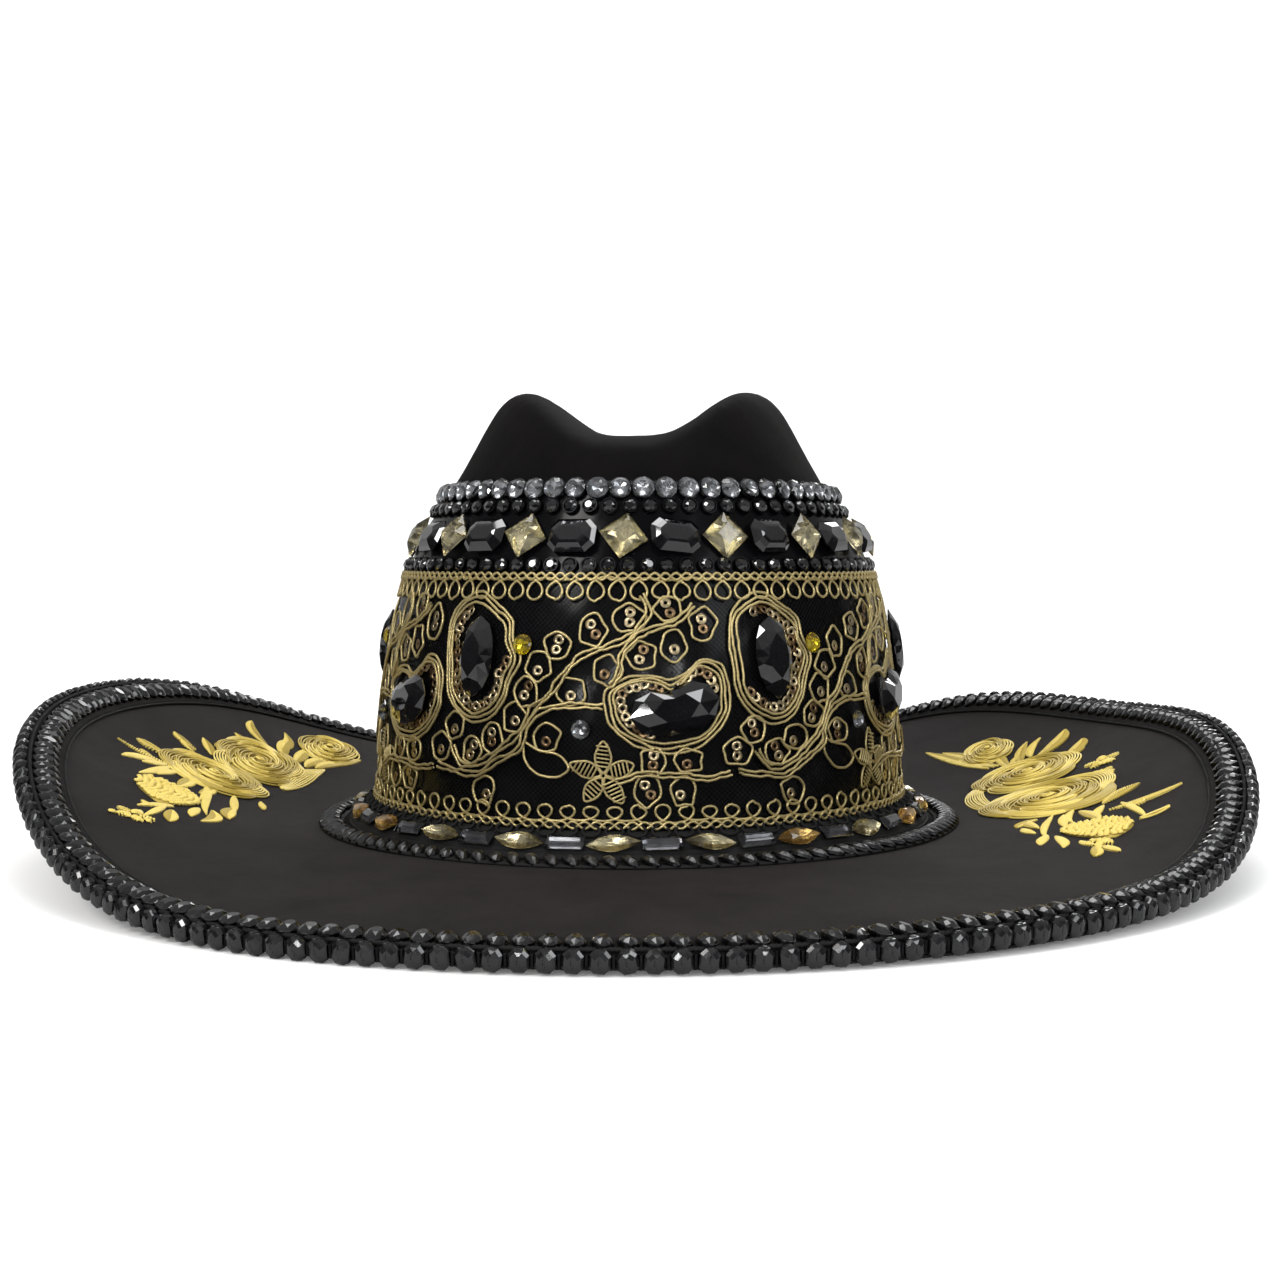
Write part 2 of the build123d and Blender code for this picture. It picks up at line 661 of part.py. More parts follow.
def make_base_trim():
    foot = FLANGE_THICK + 0.1
    with BuildPart() as gimp:
        for height, reach in ((foot, GIMP_LOW_OUT), (foot + GIMP_TALL, GIMP_HIGH_OUT)):
            a, b = crown_axes(height)
            with BuildSketch(Plane.XY.offset(CROWN_Z + height)):
                Ellipse(a + reach, b + reach)
                Ellipse(a + 0.25, b + 0.25, mode=Mode.SUBTRACT)
        loft()
    save(gimp.part, "base_trim_gimp")

    a, b = CROWN_LEVELS[0][1:]
    with BuildPart() as tape:
        with BuildSketch(Plane.XY.offset(CROWN_Z)):
            Ellipse(a + 20.0, b + 20.0)
            Ellipse(a + FLANGE_WIDTH + 0.2, b + FLANGE_WIDTH + 0.2, mode=Mode.SUBTRACT)
        extrude(amount=0.6)
    save(tape.part, "base_trim_tape")

    def cove_plane(around, share, gap):
        """Plane on the sloping face of the gimp; share 0 is its foot and 1 its top."""
        angle = 2 * pi * around
        reach = GIMP_LOW_OUT + (GIMP_HIGH_OUT - GIMP_LOW_OUT) * share
        height = foot + GIMP_TALL * share
        flat = Vector((b + reach) * sin(angle), -(a + reach) * cos(angle), 0).normalized()
        run = Vector(GIMP_LOW_OUT - GIMP_HIGH_OUT, 0, GIMP_TALL).normalized()
        normal = flat * run.Z + Vector(0, 0, run.X)
        point = Vector((a + reach) * sin(angle), -(b + reach) * cos(angle), CROWN_Z + height)
        along = Vector(0, 0, 1).cross(flat).normalized()
        return Plane(origin=point + normal * gap, x_dir=along, z_dir=normal)

    with BuildSketch() as lens:
        with Locations((0, NAVETTE_ARC - NAVETTE_HALF)):
            Circle(NAVETTE_ARC)
        with Locations((0, NAVETTE_HALF - NAVETTE_ARC)):
            Circle(NAVETTE_ARC, mode=Mode.INTERSECT)
    navette = faceted(lens.sketch, 0.9, 1.6, 35)
    save(set_row(navette, [cove_plane(i / BASE_JEWELS, 0.45, 0.15) for i in range(BASE_JEWELS)]),
         "base_navette_jewels")

    with BuildSketch() as bar:
        Rectangle(*BAGUETTE)
    baguette = faceted(bar.sketch, 0.9, 1.5, 35)
    save(set_row(baguette,
                 [cove_plane((i + 0.5) / BASE_JEWELS, 0.45, 0.15) for i in range(BASE_JEWELS)]),
         "base_baguette_jewels")

    with BuildSketch() as loop:
        Ellipse(2.6, 2.1)
        Ellipse(1.7, 1.2, mode=Mode.SUBTRACT)
    with BuildPart() as black_loop:
        add(loop.sketch)
        extrude(amount=0.9)
    save(set_row(black_loop.part,
                 [cove_plane(i / LOOP_COUNT, 1.02, 1.35) for i in range(LOOP_COUNT)]),
         "black_loop_braid")

    scale = round_stone(5.2, 0.6, 0.9, 2.8)
    planes = []
    for i in range(BASE_BEADS):
        angle = pattern_angle(i / BASE_BEADS)
        x, y = (a + BASE_BEAD_OUT) * sin(angle), -(b + BASE_BEAD_OUT) * cos(angle)
        planes.append(Plane(origin=(x, y, CROWN_Z + 0.7)))
    save(set_row(scale, planes), "base_bead_row")


# ---------------------------------------------------------------- brim embroidery
# Plan layout of the spray on the wearer's right, in millimetres from the hat's middle.
BLOOMS = ((-143, 50, 11.0, 8), (-141, 8, 9.5, 7))       # x, y, petal circle, petals
PETAL_SHARE = (0.52, 0.34)    # half length and half width of a petal, of the petal circle
SPRAY_LEAVES = (              # x, y, half length, half width, direction in degrees
    (-161, 78, 9, 3.2, 130), (-146, 84, 10, 3.4, 95), (-129, 79, 9, 3.2, 65),
    (-168, 52, 7, 3.0, 165), (-168, 31, 7, 2.8, 190), (-163, 4, 8, 2.6, 205),
    (-152, -20, 10, 3.0, 250), (-140, -24, 12, 2.6, 272), (-129, -17, 9, 2.4, 290),
    (-121, 30, 7, 2.6, 350),
)
BUDS = ((-154, -46, 5.5), (-151, 106, 5.5), (-168, 68, 3.6), (-178, 14, 3.6))   # x, y, radius
STITCH_THICK = 0.9
BRIM_HOLLOW = 0.0048          # how fast the brim rises away from a flat plane, per mm


def brim_place(x, y):
    """Angle and t of a plan position on the brim."""
    low, high = 0.0, 1.0
    for _ in range(40):
        t = (low + high) / 2
        a = OPENING_A + (EDGE_A - OPENING_A) * t
        b = OPENING_B + (EDGE_B - OPENING_B) * t
        if (x / a) ** 2 + (y / b) ** 2 > 1:
            low = t
        else:
            high = t
    return atan2(x / a, -y / b), t


def stitched_patch(x, y, half_long, half_wide, direction):
    """Padded oval of satin stitch lying on the brim."""
    angle, t = brim_place(x, y)
    lift = COVER_THICK + 0.1 + BRIM_HOLLOW * half_long**2
    level = brim_plane(angle, t, lift)
    run = Vector(cos(radians(direction)), sin(radians(direction)), 0)
    across = level.z_dir.cross(run).normalized()
    place = Plane(origin=level.origin, x_dir=across.cross(level.z_dir), z_dir=level.z_dir)
    with BuildPart() as patch:
        with BuildSketch(place):
            Ellipse(half_long, half_wide)
        extrude(amount=STITCH_THICK)
    return patch.part


def make_embroidery():
    for name, side in (("brim_embroidery_right", 1), ("brim_embroidery_left", -1)):
        def mirrored(direction):
            return direction if side > 0 else 180 - direction

        patches = []
        for x, y, circle, petals in BLOOMS:
            patches.append(stitched_patch(side * x, y, circle * 0.4, circle * 0.4 - EPS, 0))
            for i in range(petals):
                direction = mirrored(360 * i / petals)
                px = side * x + circle * cos(radians(direction))
                py = y + circle * sin(radians(direction))
                patches.append(stitched_patch(
                    px, py, circle * PETAL_SHARE[0], circle * PETAL_SHARE[1], direction))
        for x, y, half_long, half_wide, direction in SPRAY_LEAVES:
            patches.append(stitched_patch(side * x, y, half_long, half_wide, mirrored(direction)))
        for x, y, radius in BUDS:
            patches.append(stitched_patch(side * x, y, radius, radius - EPS, 0))
        save(merge(patches), name)


make_crown_shell()
make_lining()
make_sweatband()
make_bow()
make_brim()
make_edge()
make_edge_beads()
make_band()
make_crown_rows()
make_lace_cords()
make_leaves()
make_stars()
make_lace_stones()
make_braids()
make_base_trim()
make_embroidery()
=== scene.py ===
"""Looks of a jewelled western hat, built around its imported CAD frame.

Everything is worked out in millimetres in the frame's axes (front -Y, up +Z) and becomes
metres when a mesh is made. Places on the crown are (u, h): u runs around the band in the
pattern's own millimetres from the front centre, and h is the height above the crown's foot.
"""
import math
import bpy
import numpy as np
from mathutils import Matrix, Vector
from mathutils.bvhtree import BVHTree


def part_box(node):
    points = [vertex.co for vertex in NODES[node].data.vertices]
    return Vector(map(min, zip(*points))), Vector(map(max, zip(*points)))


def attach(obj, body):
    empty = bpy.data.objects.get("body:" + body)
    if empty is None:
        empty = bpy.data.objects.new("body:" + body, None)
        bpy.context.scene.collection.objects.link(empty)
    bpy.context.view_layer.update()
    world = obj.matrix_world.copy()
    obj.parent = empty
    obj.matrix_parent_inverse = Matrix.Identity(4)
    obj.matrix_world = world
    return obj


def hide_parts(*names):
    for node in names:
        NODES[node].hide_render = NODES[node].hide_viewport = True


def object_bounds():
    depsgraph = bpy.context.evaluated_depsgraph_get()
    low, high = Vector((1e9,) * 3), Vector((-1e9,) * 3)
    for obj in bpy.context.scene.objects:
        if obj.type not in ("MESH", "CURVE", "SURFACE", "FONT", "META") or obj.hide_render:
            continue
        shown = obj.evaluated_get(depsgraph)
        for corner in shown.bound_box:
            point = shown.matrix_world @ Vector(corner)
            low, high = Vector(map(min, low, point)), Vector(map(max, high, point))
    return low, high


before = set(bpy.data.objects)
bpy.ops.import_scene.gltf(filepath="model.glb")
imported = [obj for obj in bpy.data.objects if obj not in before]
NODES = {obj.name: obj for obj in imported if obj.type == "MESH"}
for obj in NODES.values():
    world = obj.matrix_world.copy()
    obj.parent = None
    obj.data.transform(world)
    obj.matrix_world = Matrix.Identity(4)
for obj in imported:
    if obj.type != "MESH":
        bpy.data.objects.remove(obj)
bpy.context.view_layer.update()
MM = 0.001
TURN = 2 * math.pi
UP = np.array([0.0, 0.0, 1.0])
rng = np.random.default_rng(11)


# ------------------------------------------------------------------ small helpers
def unit(vectors, tiny=0.0):
    """Vectors scaled to length one; tiny keeps a zero vector from dividing by zero."""
    return vectors / (np.linalg.norm(vectors, axis=-1, keepdims=True) + tiny)


def around_turn(count):
    """Even angles around a full turn; around the hat they start at the front."""
    return TURN * np.arange(count) / count


def circle(phi):
    return np.stack([np.cos(phi), np.sin(phi)], -1)


def oval_point(a, b, z, angle):
    """Points on ovals around the hat, from the front towards +X."""
    return np.stack(np.broadcast_arrays(a * np.sin(angle), -b * np.cos(angle), z), -1)


def left_of(flat):
    """Plan directions turned a quarter turn to the left."""
    return np.stack([-flat[..., 1], flat[..., 0]], -1)


def mixed(low, high, share):
    return low + (high - low) * share


# ------------------------------------------------------------------ reading the frame
def node_mesh(name):
    """Vertices in millimetres and triangles of a CAD node."""
    mesh = NODES[name].data
    co = np.empty(len(mesh.vertices) * 3)
    mesh.vertices.foreach_get("co", co)
    mesh.calc_loop_triangles()
    tri = np.empty(len(mesh.loop_triangles) * 3, dtype=np.int64)
    mesh.loop_triangles.foreach_get("vertices", tri)
    return co.reshape(-1, 3) / MM, tri.reshape(-1, 3)


def solid_centres(name):
    """Middle of each separate solid in a CAD node, sorted around the hat."""
    co, tri = node_mesh(name)
    spots, index = np.unique(np.round(co, 3), axis=0, return_inverse=True)
    tri = index.reshape(-1)[tri]
    label = np.arange(len(spots))
    while True:
        new = label.copy()
        low = label[tri].min(axis=1)
        for k in range(3):
            np.minimum.at(new, tri[:, k], low)
        new = new[new]
        if (new == label).all():
            break
        label = new
    centres = np.array([
        (spots[label == i].min(axis=0) + spots[label == i].max(axis=0)) / 2
        for i in np.unique(label)
    ])
    return centres[np.argsort(np.arctan2(centres[:, 0], -centres[:, 1]))]


def ray_tree(*names):
    """Surfaces of some CAD nodes, for rays."""
    co, tri, base = [], [], 0
    for name in names:
        c, t = node_mesh(name)
        co.append(c)
        tri.append(t + base)
        base += len(c)
    return BVHTree.FromPolygons(np.vstack(co).tolist(), np.vstack(tri).tolist())


def box_mm(name):
    low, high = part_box(name)
    return np.array(low) / MM, np.array(high) / MM


# ------------------------------------------------------------------ crown wall
CROWN_FOOT = box_mm("crown_shell")[0][2]
PATTERN_LENGTH = 560.0        # nominal length of the band pattern
REPEATS = 6
CELL = PATTERN_LENGTH / REPEATS
PATTERN_STRETCH = 0.026       # evens the repeats out around the oval


def wall_table():
    """Half width and half length of the patent band, and of the felt below it, by height."""
    tree = ray_tree("crown_shell", "band_backing")
    low = box_mm("band_backing")[0][2] + 0.3
    high = box_mm("band_backing")[1][2] - 0.3
    heights = np.arange(low, high, 2.0)
    sizes = []
    for z in heights:
        side = tree.ray_cast(Vector((400, 0, z)), Vector((-1, 0, 0)))[0]
        front = tree.ray_cast(Vector((0, -400, z)), Vector((0, 1, 0)))[0]
        sizes.append((side.x, -front.y))
    sizes = np.array(sizes)
    smooth = sizes.copy()
    for _ in range(2):
        smooth[1:-1] = (smooth[:-2] + 2 * smooth[1:-1] + smooth[2:]) / 4
    return heights - CROWN_FOOT, smooth


WALL_H, WALL_AB = wall_table()


def wall_axes(h):
    """Half width and half length of the band at a height, drawn on a little below it."""
    a = np.interp(h, WALL_H, WALL_AB[:, 0])
    b = np.interp(h, WALL_H, WALL_AB[:, 1])
    foot_slope = (WALL_AB[0] - WALL_AB[3]) / (WALL_H[3] - WALL_H[0])
    below = np.clip(WALL_H[0] - h, 0, None)
    return a + below * foot_slope[0] * 0.5, b + below * foot_slope[1] * 0.5


def u_angle(u):
    f = np.asarray(u, float) / PATTERN_LENGTH
    return TURN * f + PATTERN_STRETCH * np.sin(2 * TURN * f)


def wall_at(angle, h, out=0.0):
    """Points, tangents, ups and normals on the patent band."""
    angle, h = np.broadcast_arrays(np.asarray(angle, float), np.asarray(h, float))
    a, b = wall_axes(h)
    a_up, b_up = wall_axes(h + 1.5)
    a_dn, b_dn = wall_axes(h - 1.5)
    sin, cos = np.sin(angle), np.cos(angle)
    tangent = unit(np.stack([a * cos, b * sin, np.zeros_like(a)], -1))
    up = unit(np.stack([(a_up - a_dn) / 3 * sin, -(b_up - b_dn) / 3 * cos, np.ones_like(a)], -1))
    normal = unit(np.cross(tangent, up))
    point = oval_point(a, b, CROWN_FOOT + h, angle)
    return point + normal * np.asarray(out)[..., None], tangent, up, normal


def wall(u, h, out=0.0):
    return wall_at(u_angle(u), h, out)


def wall_spot(points):
    """Angle and height on the band of points that lie a little outside it."""
    points = np.asarray(points, float)
    h = points[:, 2] - CROWN_FOOT
    foot = points
    for _ in range(4):
        a, b = wall_axes(h)
        angle = np.arctan2(foot[:, 0] / a, -foot[:, 1] / b)
        base, _, _, normal = wall_at(angle, h)
        away = ((points - base) * normal).sum(-1, keepdims=True)
        foot = points - normal * away
        h = foot[:, 2] - CROWN_FOOT
    return angle, h


# ------------------------------------------------------------------ brim surface
BRIM_OUTER = box_mm("brim_top_cover")[1][:2]
BRIM_CO = node_mesh("brim_top_cover")[0]
BRIM_INNER = np.array([
    np.abs(BRIM_CO[np.abs(BRIM_CO[:, 1]) < 6, 0]).min(),
    np.abs(BRIM_CO[np.abs(BRIM_CO[:, 0]) < 6, 1]).min(),
])
BRIM_THICK = 3.55             # top of the top cover to the bottom of the under cover


def brim_table(around=288, across=48):
    """Height of the brim's top over a grid of angle and t, smoothed to a clean surface."""
    tree = ray_tree("brim_top_cover")
    z = np.zeros((around, across))
    for i in range(around):
        angle = TURN * i / around
        for j in range(across):
            t = 0.004 + 0.992 * j / (across - 1)
            spot = Vector(oval_point(*mixed(BRIM_INNER, BRIM_OUTER, t), 200, angle))
            hit = tree.ray_cast(spot, Vector((0, 0, -1)))[0]
            z[i, j] = hit.z if hit else z[i, j - 1]
    for _ in range(6):
        z = (np.roll(z, 1, 0) + 2 * z + np.roll(z, -1, 0)) / 4
        inner = (z[:, :-2] + 2 * z[:, 1:-1] + z[:, 2:]) / 4
        z[:, 1:-1] = inner
    return z


BRIM_Z = brim_table()


def brim_z(angle, t):
    """Height of the brim's top; t runs from 0 at the crown to 1 at the edge."""
    around, across = BRIM_Z.shape
    i = (np.asarray(angle, float) / TURN * around) % around
    j = np.clip((np.asarray(t, float) - 0.004) / 0.992, -0.02, 1.03) * (across - 1)
    i0 = np.floor(i).astype(int)
    j0 = np.clip(np.floor(j).astype(int), 0, across - 2)
    fi, fj = i - i0, j - j0
    i1 = (i0 + 1) % around
    i0 = i0 % around
    low = BRIM_Z[i0, j0] * (1 - fj) + BRIM_Z[i0, j0 + 1] * fj
    high = BRIM_Z[i1, j0] * (1 - fj) + BRIM_Z[i1, j0 + 1] * fj
    return low * (1 - fi) + high * fi


def brim_axes(t):
    """Half width and half length of the brim's plan, from its inner oval to its edge."""
    return [mixed(BRIM_INNER[k], BRIM_OUTER[k], t) for k in (0, 1)]


def brim_point(angle, t, lift=0.0):
    return oval_point(*brim_axes(t), brim_z(angle, t) + lift, angle)


def brim_at(angle, t, out=0.0):
    """Points, tangents (around), outward directions and normals on top of the brim."""
    angle, t = np.broadcast_arrays(np.asarray(angle, float), np.asarray(t, float))
    step = 0.02
    point = brim_point(angle, t)
    tangent = unit(brim_point(angle + step, t) - brim_point(angle - step, t))
    outward = brim_point(angle, np.minimum(t, 1)) - brim_point(angle, np.minimum(t, 1) - step)
    normal = unit(np.cross(outward, tangent))
    outward = np.cross(tangent, normal)
    return point + normal * np.asarray(out)[..., None], tangent, outward, normal


def brim_spot(x, y):
    """Angle and t of plan positions on the brim."""
    low, high = np.zeros_like(x), np.full_like(x, 1.1)
    for _ in range(30):
        t = (low + high) / 2
        a, b = brim_axes(t)
        outside = (x / a) ** 2 + (y / b) ** 2 > 1
        low, high = np.where(outside, t, low), np.where(outside, high, t)
    return np.arctan2(x / a, -y / b), t


def edge_t(inset):
    """The t that lies a distance inside the brim's edge."""
    return 1 - inset / (BRIM_OUTER[0] - BRIM_INNER[0])


# ------------------------------------------------------------------ mesh making
AROUND = 720                  # points of a cloth row around the hat
ANGLE = around_turn(AROUND)


class Shape:
    """Collects vertices and faces, and becomes one Blender mesh object."""

    def __init__(self):
        self.co, self.loops, self.sizes, self.mats, self.count = [], [], [], [], 0

    def add(self, co, blocks, mat=0):
        """blocks is a list of (n, k) arrays of faces that share a material."""
        self.add_groups(co, [(blocks, mat)])

    def add_groups(self, co, groups):
        """groups is a list of (blocks, material number)."""
        for blocks, number in groups:
            for block in blocks:
                self.loops.append((block + self.count).ravel())
                self.sizes.append(np.full(len(block), block.shape[1]))
                self.mats.append(np.full(len(block), number))
        self.co.append(np.asarray(co, float).reshape(-1, 3))
        self.count += len(self.co[-1])

    def place(self, stone, point, tangent, up, normal, spin=0.0):
        """A copy of a stone: a list of (vertices, face groups)."""
        c, s = math.cos(spin), math.sin(spin)
        x = tangent * c + up * s
        y = up * c - tangent * s
        for co, groups in stone:
            self.add_groups(point + co[:, :1] * x + co[:, 1:2] * y + co[:, 2:] * normal, groups)

    def build(self, name, materials, smooth=True, ride=True):
        mesh = bpy.data.meshes.new(name)
        co, loops = np.vstack(self.co) * MM, np.concatenate(self.loops)
        sizes = np.concatenate(self.sizes)
        mesh.vertices.add(len(co))
        mesh.vertices.foreach_set("co", co.ravel())
        mesh.loops.add(len(loops))
        mesh.loops.foreach_set("vertex_index", loops)
        mesh.polygons.add(len(sizes))
        mesh.polygons.foreach_set("loop_start", np.concatenate([[0], np.cumsum(sizes)[:-1]]))
        mesh.polygons.foreach_set("material_index", np.concatenate(self.mats))
        mesh.polygons.foreach_set("use_smooth", np.full(len(sizes), smooth))
        mesh.update(calc_edges=True)
        mesh.validate()
        for material in materials:
            mesh.materials.append(material)
        piece = bpy.data.objects.new(name, mesh)
        bpy.context.collection.objects.link(piece)
        if ride:
            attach(piece, "root")
        return piece


def grid_faces(rows, cols, wrap_rows=False, wrap_cols=False):
    r = np.arange(rows if wrap_rows else rows - 1)
    c = np.arange(cols if wrap_cols else cols - 1)
    i, j = np.meshgrid(r, c, indexing="ij")
    i1, j1 = (i + 1) % rows, (j + 1) % cols
    return np.stack([i * cols + j, i * cols + j1, i1 * cols + j1, i1 * cols + j], -1).reshape(-1, 4)


def curve(points, step, closed=False):
    """Catmull-Rom curve through points, resampled at an even step."""
    p = np.asarray(points, float)
    n = len(p)
    fine = []
    spans = n if closed else n - 1
    for i in range(spans):
        idx = [(i - 1), i, (i + 1), (i + 2)]
        idx = [k % n for k in idx] if closed else [min(max(k, 0), n - 1) for k in idx]
        p0, p1, p2, p3 = p[idx]
        s = np.linspace(0, 1, 14, endpoint=False)[:, None]
        fine.append(0.5 * (2 * p1 + (p2 - p0) * s + (2 * p0 - 5 * p1 + 4 * p2 - p3) * s**2
                           + (3 * p1 - p0 - 3 * p2 + p3) * s**3))
    fine.append(p[:1] if closed else p[-1:])
    fine = np.vstack(fine)
    run = np.concatenate([[0], np.cumsum(np.linalg.norm(np.diff(fine, axis=0), axis=1))])
    count = max(4, int(round(run[-1] / step)))
    where = np.linspace(0, run[-1], count, endpoint=not closed)
    return np.stack([np.interp(where, run, fine[:, k]) for k in range(p.shape[1])], -1)


POINTS_PER_WAVE = 16


def wander(path, amount, closed=False):
    """Small smooth sideways wobble, as hand-laid cord has."""
    n = len(path)
    waves = max(2, int(n / POINTS_PER_WAVE))
    phase = rng.uniform(0, TURN, (3, path.shape[1]))
    s = np.linspace(0, TURN, n, endpoint=not closed)[:, None]
    offset = sum(np.sin((waves * (k + 1) // 2 + k) * s + phase[k]) / (k + 1) for k in range(3))
    return path + offset * amount


CORD_TURN = 2.3               # length of one turn of a two-ply cord, in mm
CORD_STEP = 0.32


def tube(shape, point, normal, radius, closed=False, sides=8, ply=0.42, taper=0, mat=0):
    """Tube along points with given surface normals; ply is how deep the two-ply twist cuts."""
    n = len(point)
    if closed:
        along = np.roll(point, -1, 0) - np.roll(point, 1, 0)
    else:
        along = np.gradient(point, axis=0)
    along = unit(along, 1e-12)
    side = unit(np.cross(along, normal), 1e-12)
    lift = np.cross(side, along)
    seg = np.linalg.norm(np.roll(point, -1, 0) - point, axis=1)
    run = np.concatenate([[0], np.cumsum(seg[:-1])])
    if closed:
        total = run[-1] + seg[-1]
        run = run * max(1, round(total / CORD_TURN)) * CORD_TURN / total
    phi = around_turn(sides)
    lobe = np.abs(np.cos(phi[None, :] - TURN * run[:, None] / CORD_TURN))
    r = radius * (1 - ply * (1 - lobe))
    if taper:
        ends = np.minimum(np.arange(n), np.arange(n)[::-1]) / taper
        r = r * np.sqrt(np.clip(ends, 0.03, 1))[:, None]
    co = (point[:, None] + side[:, None] * (np.cos(phi)[None, :, None] * r[..., None])
          + lift[:, None] * (np.sin(phi)[None, :, None] * r[..., None]))
    blocks = [grid_faces(n, sides, wrap_rows=closed, wrap_cols=True)]
    if not closed:
        blocks.append(np.stack([np.arange(sides), np.arange(sides)[::-1] + (n - 1) * sides]))
    shape.add(co, blocks, mat)


def ring_profile(profile, sides):
    """Closed ring through (radius, height) pairs; a radius may be a pair along x and y."""
    phi = around_turn(sides)
    co = np.vstack([np.column_stack([circle(phi) * radius, np.full(sides, z)])
                    for radius, z in profile])
    return co, grid_faces(len(profile), sides, True, True)


# ------------------------------------------------------------------ materials
class Graph:
    """Short calls that build a node tree."""

    def __init__(self, tree):
        self.nodes, self.links = tree.nodes, tree.links
        self.surface = self.nodes.get("Principled BSDF")

    def node(self, kind, inputs=None, **properties):
        """New shader node with some properties and input values."""
        node = self.nodes.new("ShaderNode" + kind)
        for name, value in properties.items():
            setattr(node, name, value)
        for name, value in (inputs or {}).items():
            node.inputs[name].default_value = value
        return node

    def link(self, output, node, socket):
        self.links.new(output, node.inputs[socket])

    def coords(self, scale=(1.0, 1.0, 1.0)):
        """Object coordinates in metres, scaled."""
        mapping = self.node("Mapping", {"Scale": scale})
        self.link(self.node("TexCoord").outputs["Object"], mapping, "Vector")
        return mapping.outputs["Vector"]

    def noise(self, per_metre, detail=4.0, rough=0.55, vector=None, distort=0.0):
        node = self.node("TexNoise", {"Scale": per_metre, "Detail": detail, "Roughness": rough,
                                      "Distortion": distort})
        self.link(vector or self.coords(), node, "Vector")
        return node.outputs["Fac"]

    def ramp(self, value, *stops):
        """Colours blended over a value; stops are (place, colour) from low to high."""
        node = self.node("ValToRGB")
        ends = node.color_ramp.elements
        for end, (place, color) in ((ends[0], stops[0]), (ends[1], stops[-1])):
            end.position = place
            end.color = (*color, 1)
        for place, color in stops[1:-1]:
            ends.new(place).color = (*color, 1)
        self.link(value, node, "Fac")
        return node.outputs["Color"]

    def mix_shader(self, share, first, second):
        node = self.node("MixShader")
        self.link(share, node, "Fac")
        self.link(first.outputs[0], node, 1)
        self.link(second.outputs[0], node, 2)
        return node

    def paint(self, value, *stops):
        self.link(self.ramp(value, *stops), self.surface, "Base Color")

    def bump(self, height, strength, distance, after=None):
        node = self.node("Bump", {"Strength": strength, "Distance": distance})
        self.link(height, node, "Height")
        if after:
            self.link(after, node, "Normal")
        self.link(node.outputs["Normal"], self.surface, "Normal")
        return node.outputs["Normal"]


def new_material(name, color, inputs):
    """A material with its graph; inputs are values of its Principled surface."""
    material = bpy.data.materials.new(name)
    material.use_nodes = True
    material.diffuse_color = (*color, 1)
    graph = Graph(material.node_tree)
    for key, value in inputs.items():
        graph.surface.inputs[key].default_value = value
    return material, graph


def gray(v):
    return (v, v, v)


def napped_cloth(name, dark, light, nap_scale, sheen, sheen_tint):
    """Felt or suede: mottled nap with a soft sheen and a fine fibre bump."""
    material, graph = new_material(name, light, {
        "Roughness": 0.9, "Specular IOR Level": 0.10, "Sheen Weight": sheen,
        "Sheen Roughness": 0.45, "Sheen Tint": (*sheen_tint, 1)})
    graph.paint(graph.noise(38, 6, 0.6, distort=0.6), (0.32, dark), (0.68, light))
    brushed = graph.noise(nap_scale * 0.25, 3, 0.6, graph.coords((1.0, 0.35, 1.0)))
    first = graph.bump(brushed, 0.35, 0.0004)
    graph.bump(graph.noise(nap_scale, 5, 0.7), 0.55, 0.00025, first)
    return material


def stone_material(name, color, rough=0.03, coat=1.0):
    """Opaque polished crystal."""
    material, graph = new_material(name, color, {
        "Roughness": rough, "IOR": 1.7, "Coat Weight": coat, "Coat Roughness": 0.02})
    graph.paint(graph.noise(160, 2), (0.3, tuple(c * 0.6 for c in color)), (0.7, color))
    return material


def clear_material(name, color):
    return new_material(name, color, {
        "Base Color": (*color, 1), "Transmission Weight": 1.0, "Roughness": 0.0, "IOR": 1.62})[0]


def metal(name, color, rough, variation=0.25, scale=400, grain=0.0):
    material, graph = new_material(name, color, {"Metallic": 1.0, "Roughness": rough})
    low = tuple(c * (1 - variation) for c in color)
    graph.paint(graph.noise(scale, 4), (0.3, low), (0.7, color))
    if grain:
        graph.bump(graph.noise(2600, 2), grain, 0.0001)
    return material


def thread(name, dark, light, rough, metallic=0.0, sheen=0.0):
    """Twisted yarn: fine fibres along the strand and uneven colour."""
    material, graph = new_material(name, light, {
        "Specular IOR Level": 0.2, "Roughness": rough, "Metallic": metallic,
        "Sheen Weight": sheen})
    fine = graph.noise(1500, 2, 0.5)
    both = graph.node("Math", operation="ADD")
    graph.link(graph.noise(240, 3, 0.6), both, 0)
    graph.link(fine, both, 1)
    graph.paint(both.outputs[0], (0.35, dark), (0.9, light))
    graph.bump(fine, 0.5, 0.00012)
    return material


def patent_material():
    material, graph = new_material("black_patent", gray(0.006), {
        "Base Color": (0.002, 0.002, 0.0025, 1), "Roughness": 0.20, "Specular IOR Level": 0.08,
        "Coat Weight": 0.06, "Coat Roughness": 0.12})
    first = graph.bump(graph.noise(40, 2, 0.5, graph.coords((1, 1, 0.4)), 1.0), 0.3, 0.0010)
    graph.bump(graph.noise(900, 2), 0.08, 0.0001, first)
    return material


